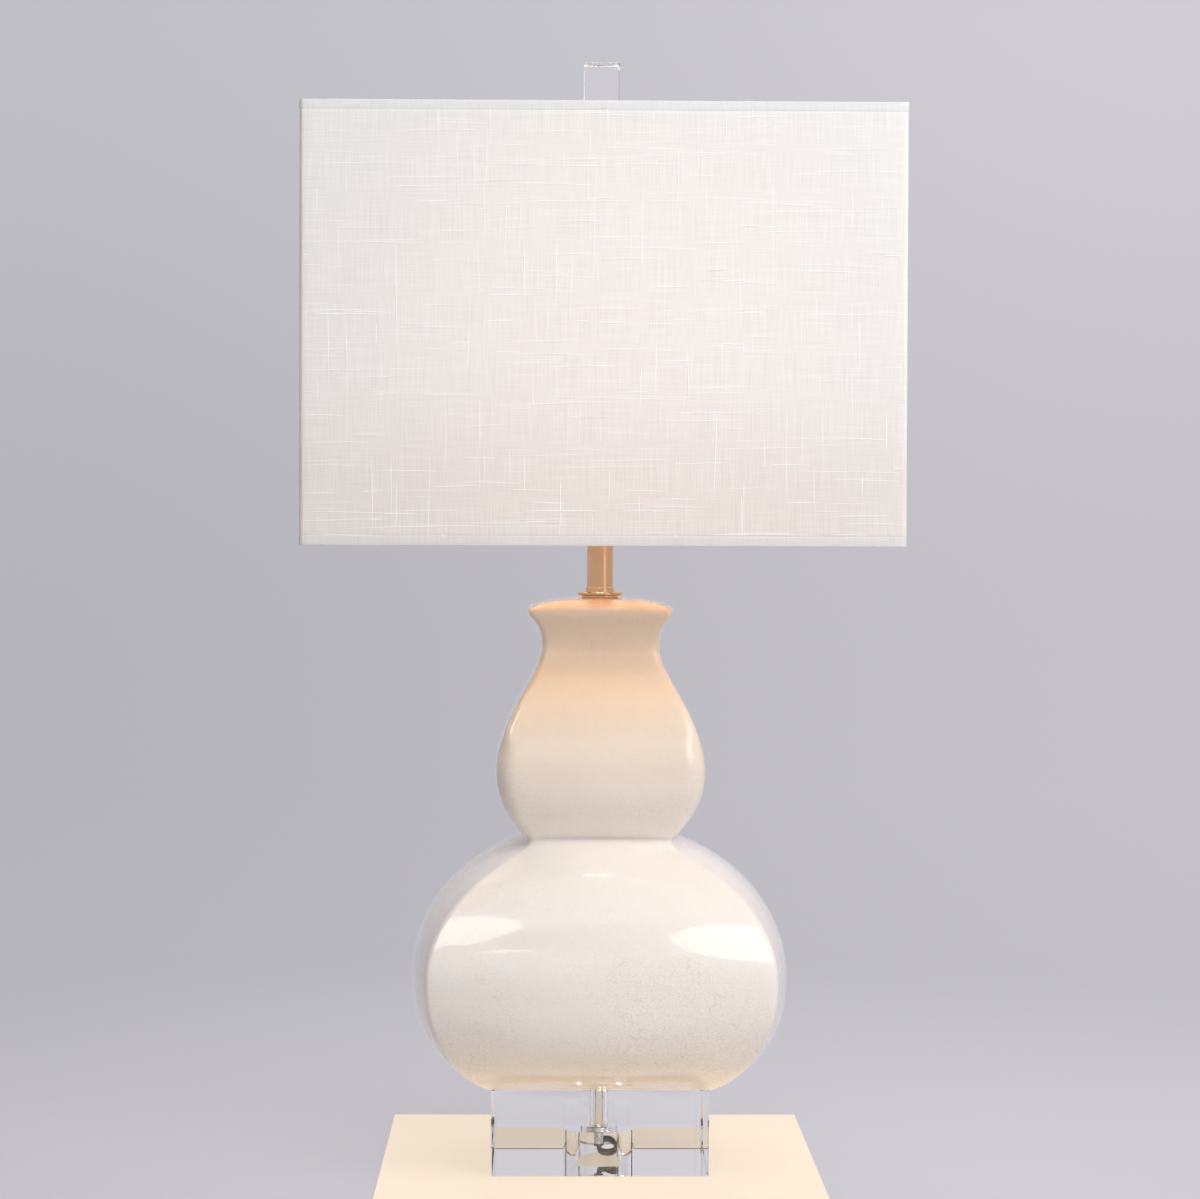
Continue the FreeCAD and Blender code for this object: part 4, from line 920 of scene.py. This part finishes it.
# The seam's section, across and outwards: a flat lap with thinned edges.
SEAM_LAP = (
    (0.0045, -0.0002),
    (0.0044, 0.0001),
    (0.0038, 0.00025),
    (0.0, 0.0003),
    (-0.0038, 0.00025),
    (-0.0044, 0.0001),
    (-0.0045, -0.0002),
)


def shade_path(offset):
    """Points round the shade, each with its distance along the cloth, and the whole way round."""
    x = SHADE_HALF[0] - SHADE_CORNER
    y = SHADE_HALF[1] - SHADE_CORNER
    out = SHADE_CORNER + offset
    arc = SHADE_CORNER * math.pi / 2
    path = []
    gone = 0.0
    # The cloth starts and ends at the middle of the back.
    legs = (
        ((0, 1), (0, y), x, (x, y)),
        ((1, 0), (x, y), 2 * y, (x, -y)),
        ((0, -1), (x, -y), 2 * x, (-x, -y)),
        ((-1, 0), (-x, -y), 2 * y, (-x, y)),
        ((0, 1), (-x, y), x, None),
    )
    for outward, start, length, corner in legs:
        count = round(length / CLOTH_STEP)
        for index in range(count):
            reach = length * index / count
            path.append(
                (
                    start[0] + outward[1] * reach + outward[0] * out,
                    start[1] - outward[0] * reach + outward[1] * out,
                    gone + reach,
                )
            )
        gone += length
        if corner:
            for index in range(CORNER_STEPS):
                angle = math.atan2(outward[1], outward[0]) - math.pi / 2 * index / CORNER_STEPS
                path.append(
                    (
                        corner[0] + math.cos(angle) * out,
                        corner[1] + math.sin(angle) * out,
                        gone + arc * index / CORNER_STEPS,
                    )
                )
            gone += arc
    return path, gone


def sleeve_piece(name, profile, material):
    """A closed sleeve round the shade; profile gives (outward offset, height) round its wall."""
    columns = [shade_path(offset)[0] for offset, _ in profile]
    around = len(columns[0])
    points = []
    uvs = []
    for (_, height), column in zip(profile, columns):
        for x, y, along in column:
            points.append((x, y, height))
            uvs.append((along, height))
    rows = len(profile)
    faces = []
    for row in range(rows):
        below = row * around
        above = (row + 1) % rows * around
        for step in range(around):
            after = (step + 1) % around
            faces.append((below + after, below + step, above + step, above + after))
    return new_piece(name, points, faces, material, "shade", uvs)


def cloth_faces(name):
    """The shade's four flat faces, as the ground that the slubs are strewn on."""
    x, y = SHADE_HALF
    points = []
    for outward in ((0, -1), (1, 0), (0, 1), (-1, 0)):
        half, face = (x, y) if outward[1] else (y, x)
        half -= SHADE_CORNER
        for reach, height in (
            (-half, SHADE_LOW),
            (half, SHADE_LOW),
            (half, SHADE_HIGH),
            (-half, SHADE_HIGH),
        ):
            x_there = outward[0] * face - outward[1] * reach
            y_there = outward[1] * face + outward[0] * reach
            points.append((x_there, y_there, height))
    base = bpy.data.meshes.new(name)
    base.from_pydata(points, [], [tuple(range(first, first + 4)) for first in (0, 4, 8, 12)])
    return base


def room_left(tree, upright, outward):
    """Distance from a point of the cloth to the nearer end of its face, along the thread."""
    place = tree.split(tree.node("GeometryNodeInputPosition").outputs[0])
    if upright:
        return tree.math(
            "MINIMUM",
            tree.math("SUBTRACT", place[2], tree.inputs["Low edge"]),
            tree.math("SUBTRACT", tree.inputs["High edge"], place[2]),
        )
    facing = tree.split(outward)
    ends = []
    for half, across, along in (("Half width", 1, 0), ("Half depth", 0, 1)):
        rest = tree.math("SUBTRACT", tree.inputs[half], tree.math("ABSOLUTE", place[along]))
        ends.append(tree.math("MULTIPLY", tree.math("ABSOLUTE", facing[across]), rest))
    return tree.math("ADD", *ends)


def spindle(tree):
    """One thick place of unit length: a thread that swells in the middle."""
    line = tree.node(
        "GeometryNodeCurvePrimitiveLine", {"Start": (-0.5, 0, 0), "End": (0.5, 0, 0)}
    )
    run = tree.node("GeometryNodeResampleCurve", {"Curve": line.outputs[0], "Count": 8})
    done = tree.node("GeometryNodeSplineParameter").outputs["Factor"]
    arch = tree.math("MULTIPLY", done, tree.math("SUBTRACT", 1.0, done))
    swell = tree.math("POWER", tree.math("MULTIPLY", 4.0, arch), 0.6)
    ring = tree.node("GeometryNodeCurvePrimitiveCircle", {"Resolution": 5, "Radius": 0.5})
    strand = tree.node(
        "GeometryNodeCurveToMesh",
        {
            "Curve": run.outputs[0],
            "Profile Curve": ring.outputs[0],
            "Fill Caps": True,
            "Scale": tree.math("MAXIMUM", swell, 0.12),
        },
    )
    return strand.outputs[0]


def add_slubs(name, upright, yarn, density, length, seed):
    """Thick places in the yarn, laid over the cloth's four faces along one of its threads."""
    tree = Growth(
        name,
        density=density,
        thread_length=length,
        thread_width=0.00075,
        thread_height=0.0005,
        tilt=0.035,
        half_width=SHADE_HALF[0] - SHADE_CORNER,
        half_depth=SHADE_HALF[1] - SHADE_CORNER,
        low_edge=SHADE_LOW + 0.001,
        high_edge=SHADE_HIGH - 0.001,
        seed=seed,
        material=yarn,
    )
    scatter = tree.node(
        "GeometryNodeDistributePointsOnFaces",
        {
            "Mesh": tree.inputs["Geometry"],
            "Density": tree.inputs["Density"],
            "Seed": tree.inputs["Seed"],
        },
    )
    outward = scatter.outputs["Normal"]
    up = (0, 0, 1)
    sideways = tree.vector("CROSS_PRODUCT", outward, up)
    along, across = (up, sideways) if upright else (sideways, up)
    lean = tree.math("MULTIPLY", tree.inputs["Tilt"], tree.chance(-1.0, 1.0, 1))
    leaned = tree.node("ShaderNodeVectorMath", {0: across, "Scale": lean}, operation="SCALE")
    turned = tree.node(
        "FunctionNodeAxesToRotation",
        {"Primary Axis": outward, "Secondary Axis": tree.vector("ADD", along, leaned.outputs[0])},
        primary_axis="Z",
        secondary_axis="X",
    )
    # Most are short, and none reaches past the end of its face.
    wanted = tree.math(
        "MULTIPLY",
        tree.inputs["Thread length"],
        tree.math("POWER", tree.chance(0.45, 1.0, 2), 2.0),
    )
    room = tree.math("MULTIPLY", room_left(tree, upright, outward), 1.96)
    fat = tree.chance(0.55, 1.0, 3)
    scale = tree.node(
        "ShaderNodeCombineXYZ",
        {
            0: tree.math("MINIMUM", wanted, room),
            1: tree.math("MULTIPLY", tree.inputs["Thread width"], fat),
            2: tree.math("MULTIPLY", tree.inputs["Thread height"], fat),
        },
    )
    laid = tree.node(
        "GeometryNodeInstanceOnPoints",
        {
            "Points": scatter.outputs[0],
            "Instance": spindle(tree),
            "Rotation": turned.outputs[0],
            "Scale": scale.outputs[0],
        },
    )
    return tree.bake(laid.outputs[0], cloth_faces(name), name, "shade")


def back_seam(linen):
    """The lap at the middle of the back, where the cloth's two ends are glued."""
    low, high = SHADE_LOW + HEM_WIDTH / 2, SHADE_HIGH - HEM_WIDTH / 2
    points = []
    uvs = []
    for row in range(SEAM_ROWS + 1):
        height = low + (high - low) * row / SEAM_ROWS
        drift = 0.0002 * math.sin(height * 110) + 0.00012 * math.sin(height * 290)
        # Both ends sink under the hems.
        face = SHADE_HALF[1] - (SEAM_SUNK if row in (0, SEAM_ROWS) else 0.0)
        for across, out in SEAM_LAP:
            points.append((across + drift, face + out, height))
            uvs.append((0.3 + across, height))
    around = len(SEAM_LAP)
    faces = tube_faces(SEAM_ROWS + 1, around)
    faces.append(tuple(reversed(range(around))))
    faces.append(tuple(SEAM_ROWS * around + index for index in range(around)))
    return new_piece("back_seam", points, faces, linen, "shade", uvs)


def hem(name, low, high, tape):
    """A narrow tape round the shade, with its two edges rounded off."""
    # How far out, as a share of the thickness, and how far from the edge.
    edge = ((0.0, 0.0), (0.3, 0.0001), (0.8, 0.0008), (1.0, 0.002))
    outer = [(HEM_THICK * out, low + step) for out, step in edge]
    outer.append((HEM_THICK, (low + high) / 2))
    outer += [(HEM_THICK * out, high - step) for out, step in reversed(edge)]
    inner = [(-HEM_THICK, high - 0.0004), (-HEM_THICK, low + 0.0004)]
    return sleeve_piece(name, outer + inner, tape)


def add_shade(linen, tape, yarn):
    """Linen sleeve, the slubs in its yarn, its seam and the two narrow hems on it."""
    outside = [
        (0.0, SHADE_LOW + (SHADE_HIGH - SHADE_LOW) * row / CLOTH_ROWS)
        for row in range(CLOTH_ROWS + 1)
    ]
    inside = [(-CLOTH_THICK, height) for _, height in reversed(outside)]
    cloth = sleeve_piece("shade_cloth", outside + inside, linen)
    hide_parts("shade_linen")
    hems = [
        hem("hem_lower", SHADE_LOW - HEM_OVER, SHADE_LOW + HEM_WIDTH, tape),
        hem("hem_upper", SHADE_HIGH - HEM_WIDTH, SHADE_HIGH + HEM_OVER, tape),
    ]
    slubs = [
        add_slubs("slubs_across", False, yarn, density=2100.0, length=0.085, seed=7),
        add_slubs("slubs_upright", True, yarn, density=850.0, length=0.06, seed=11),
    ]
    back_seam(linen)


# Cord. Millimetres, the same route as the part's.

INNER = (
    (0, 0, 22),
    (0, 0, 10),
    (1, -1, 6.2),
    (9, -4, 5.6),
    (18, -2.5, 6.8),
    (21.5, 6, 9.5),
    (17.5, 15, 11.2),
    (10, 20.5, 10.8),
    (4, 25, 9.2),
    (4, 36, 9.0),
    (4, 76.2, 9.0),
)
LEAD = (
    (4, 76.2, 9.0),
    (4, 92, 8.6),
    (3.6, 112, 4.4),
    (4.2, 136, 2.7),
    (3.3, 172, 2.5),
    (4.5, 212, 2.5),
    (3.9, 250, 2.5),
    (5.2, 288, 2.9),
    (5.0, 316, 3.6),
)
TAIL = (
    (-23, 305, 20.1),
    (-9, 305.3, 19.2),
    (3, 308, 15.6),
    (14, 313.5, 11.0),
    (23, 316, 8.5),
    (32, 316, 8.5),
)
COIL_TURNS, COIL_LAYERS, COIL_OUTER, COIL_PITCH, COIL_LOW = 8.75, 4, 33.0, 5.5, 3.6
COIL_CENTRE = (-28, 338)
# Control points in each turn of the coil.
COIL_STEPS = 16
CORD_RADIUS = 2.5


def coil_point(turn):
    """Centre of the cord after so many turns of the coil."""
    span = COIL_TURNS / COIL_LAYERS
    layer = min(int(turn / span), COIL_LAYERS - 1)
    into = turn - layer * span
    inwards = into if layer % 2 == 0 else span - into
    radius = COIL_OUTER - COIL_PITCH * inwards
    height = COIL_LOW
    for reversal in range(1, COIL_LAYERS):
        height += COIL_PITCH * smooth_step(2 * (turn - reversal * span) + 0.5)
    angle = 2 * math.pi * turn
    return (
        COIL_CENTRE[0] + radius * math.cos(angle),
        COIL_CENTRE[1] + radius * math.sin(angle),
        height,
    )


def round_curve(name, route, material):
    """A round cord on one smooth line, with the route's points as its control points."""
    data = bpy.data.curves.new(name, "CURVE")
    data.dimensions = "3D"
    data.bevel_depth = CORD_RADIUS / 1000
    data.bevel_resolution = 5
    data.resolution_u = 5
    data.use_fill_caps = True
    spline = data.splines.new("NURBS")
    spline.points.add(len(route) - 1)
    for point, place in zip(spline.points, route):
        point.co = (place[0] / 1000, place[1] / 1000, place[2] / 1000, 1)
    spline.order_u = 3
    spline.use_endpoint_u = True
    data.materials.append(material)
    return new_object(name, data)


def add_cord(material):
    """The cord inside the base, and the free cord from the rear bushing to the plug."""
    inner = round_curve("flex_inside", INNER, material)
    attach(inner, "lamp")
    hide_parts("cord_inner")
    coil = [coil_point(step / COIL_STEPS) for step in range(int(COIL_TURNS * COIL_STEPS) + 1)]
    flex = round_curve("flex", [*LEAD, *coil, *TAIL], material)
    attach(flex, "lamp")
    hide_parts("cord_lead", "cord_coil", "cord_tail")


def dress(material, *names):
    """Give the named CAD pieces a finish."""
    for name in names:
        mesh = NODES[name].data
        mesh.materials.clear()
        mesh.materials.append(material)


add_camera()
add_lights()
add_world()
add_stage()

# Plated steel and aluminium have a faint grain, drawn along the lamp's axis.
steel = grained(
    "zinc_steel",
    dark=(0.50, 0.50, 0.51),
    light=(0.72, 0.72, 0.73),
    rough=0.22,
    scale=240,
    detail=3,
    rougher=0.42,
    stretch=(1, 1, 6),
    metallic=1.0,
    bump=(0.00005, 0.4),
).material
aluminium = grained(
    "rolled_aluminium",
    dark=(0.70, 0.70, 0.70),
    light=(0.88, 0.88, 0.87),
    rough=0.3,
    scale=180,
    detail=3,
    stretch=(1, 1, 8),
    metallic=1.0,
    bump=(0.00005, 0.4),
).material
brass = grained(
    "plain_brass",
    dark=(0.70, 0.52, 0.26),
    light=(0.88, 0.71, 0.41),
    rough=0.18,
    scale=90,
    detail=4,
    rougher=0.36,
    metallic=1.0,
).material
card = grained(
    "insulating_card",
    dark=(0.085, 0.07, 0.06),
    light=(0.17, 0.145, 0.12),
    rough=0.8,
    scale=500,
    detail=3,
    stretch=(1, 1, 0.3),
    bump=(0.0001, 0.5),
).material
enamel = grained(
    "white_enamel",
    dark=(0.82, 0.82, 0.80),
    light=(0.90, 0.90, 0.88),
    rough=0.35,
    scale=220,
    detail=2,
    bump=(0.00008, 0.4),
).material
liner = grained(
    "stiff_liner",
    dark=(0.87, 0.85, 0.82),
    light=(0.93, 0.915, 0.89),
    rough=0.55,
    scale=160,
    detail=3,
    bump=(0.00008, 0.4),
).material
# Dark brown vinyl, a little shiny.
rubber = grained(
    "rubber_cord",
    dark=(0.06, 0.04, 0.03),
    light=(0.105, 0.075, 0.058),
    rough=0.3,
    scale=420,
    detail=3,
    rougher=0.5,
    bump=(0.0001, 0.4),
).material

dress(clear_acrylic("clear_acrylic", (1.0, 1.0, 1.0)), "base_block")
dress(clear_acrylic("finial_acrylic", (0.90, 0.90, 0.90)), "finial_block")
dress(chrome_painted_reflection(), "base_sleeve")
dress(steel, "base_nut", "threaded_pipe", "cap_screw")
dress(moulded_dark("dark_plastic", (0.045, 0.04, 0.036), 0.42), "pipe_bushing", "coil_tie")
dress(clear_vinyl(), "rear_bushing")
dress(
    nickel_painted_warm_light("satin_nickel", 0.17),
    "neck_tube",
    "harp_saddle",
    "socket_cap",
    "socket_shell",
    "harp",
    "harp_ferrule_left",
    "harp_ferrule_right",
    "swivel_stud",
    "finial_base",
)
dress(nickel_painted_warm_light("polished_nickel", 0.07), "seat_disc", "check_ring", "neck_collar")
dress(card, "socket_liner")
dress(moulded_dark("phenolic", (0.05, 0.042, 0.036), 0.3), "socket_core", "switch_knob")
dress(brass, "screw_shell", "centre_contact", "switch_stem", "plug_blades")
dress(aluminium, "bulb_cap", "bulb_contact")
dress(frosted_glass(), "bulb_glass")
dress(liner, "shade_liner")
dress(enamel, "shade_top_frame", "shade_bottom_frame")
dress(moulded_dark("plug_rubber", (0.07, 0.05, 0.038), 0.5), "plug_body")

add_washer(steel)
add_gourd(crackle_glaze())
add_shade(slub_linen(), hem_tape(), slub_yarn())
add_cord(rubber)
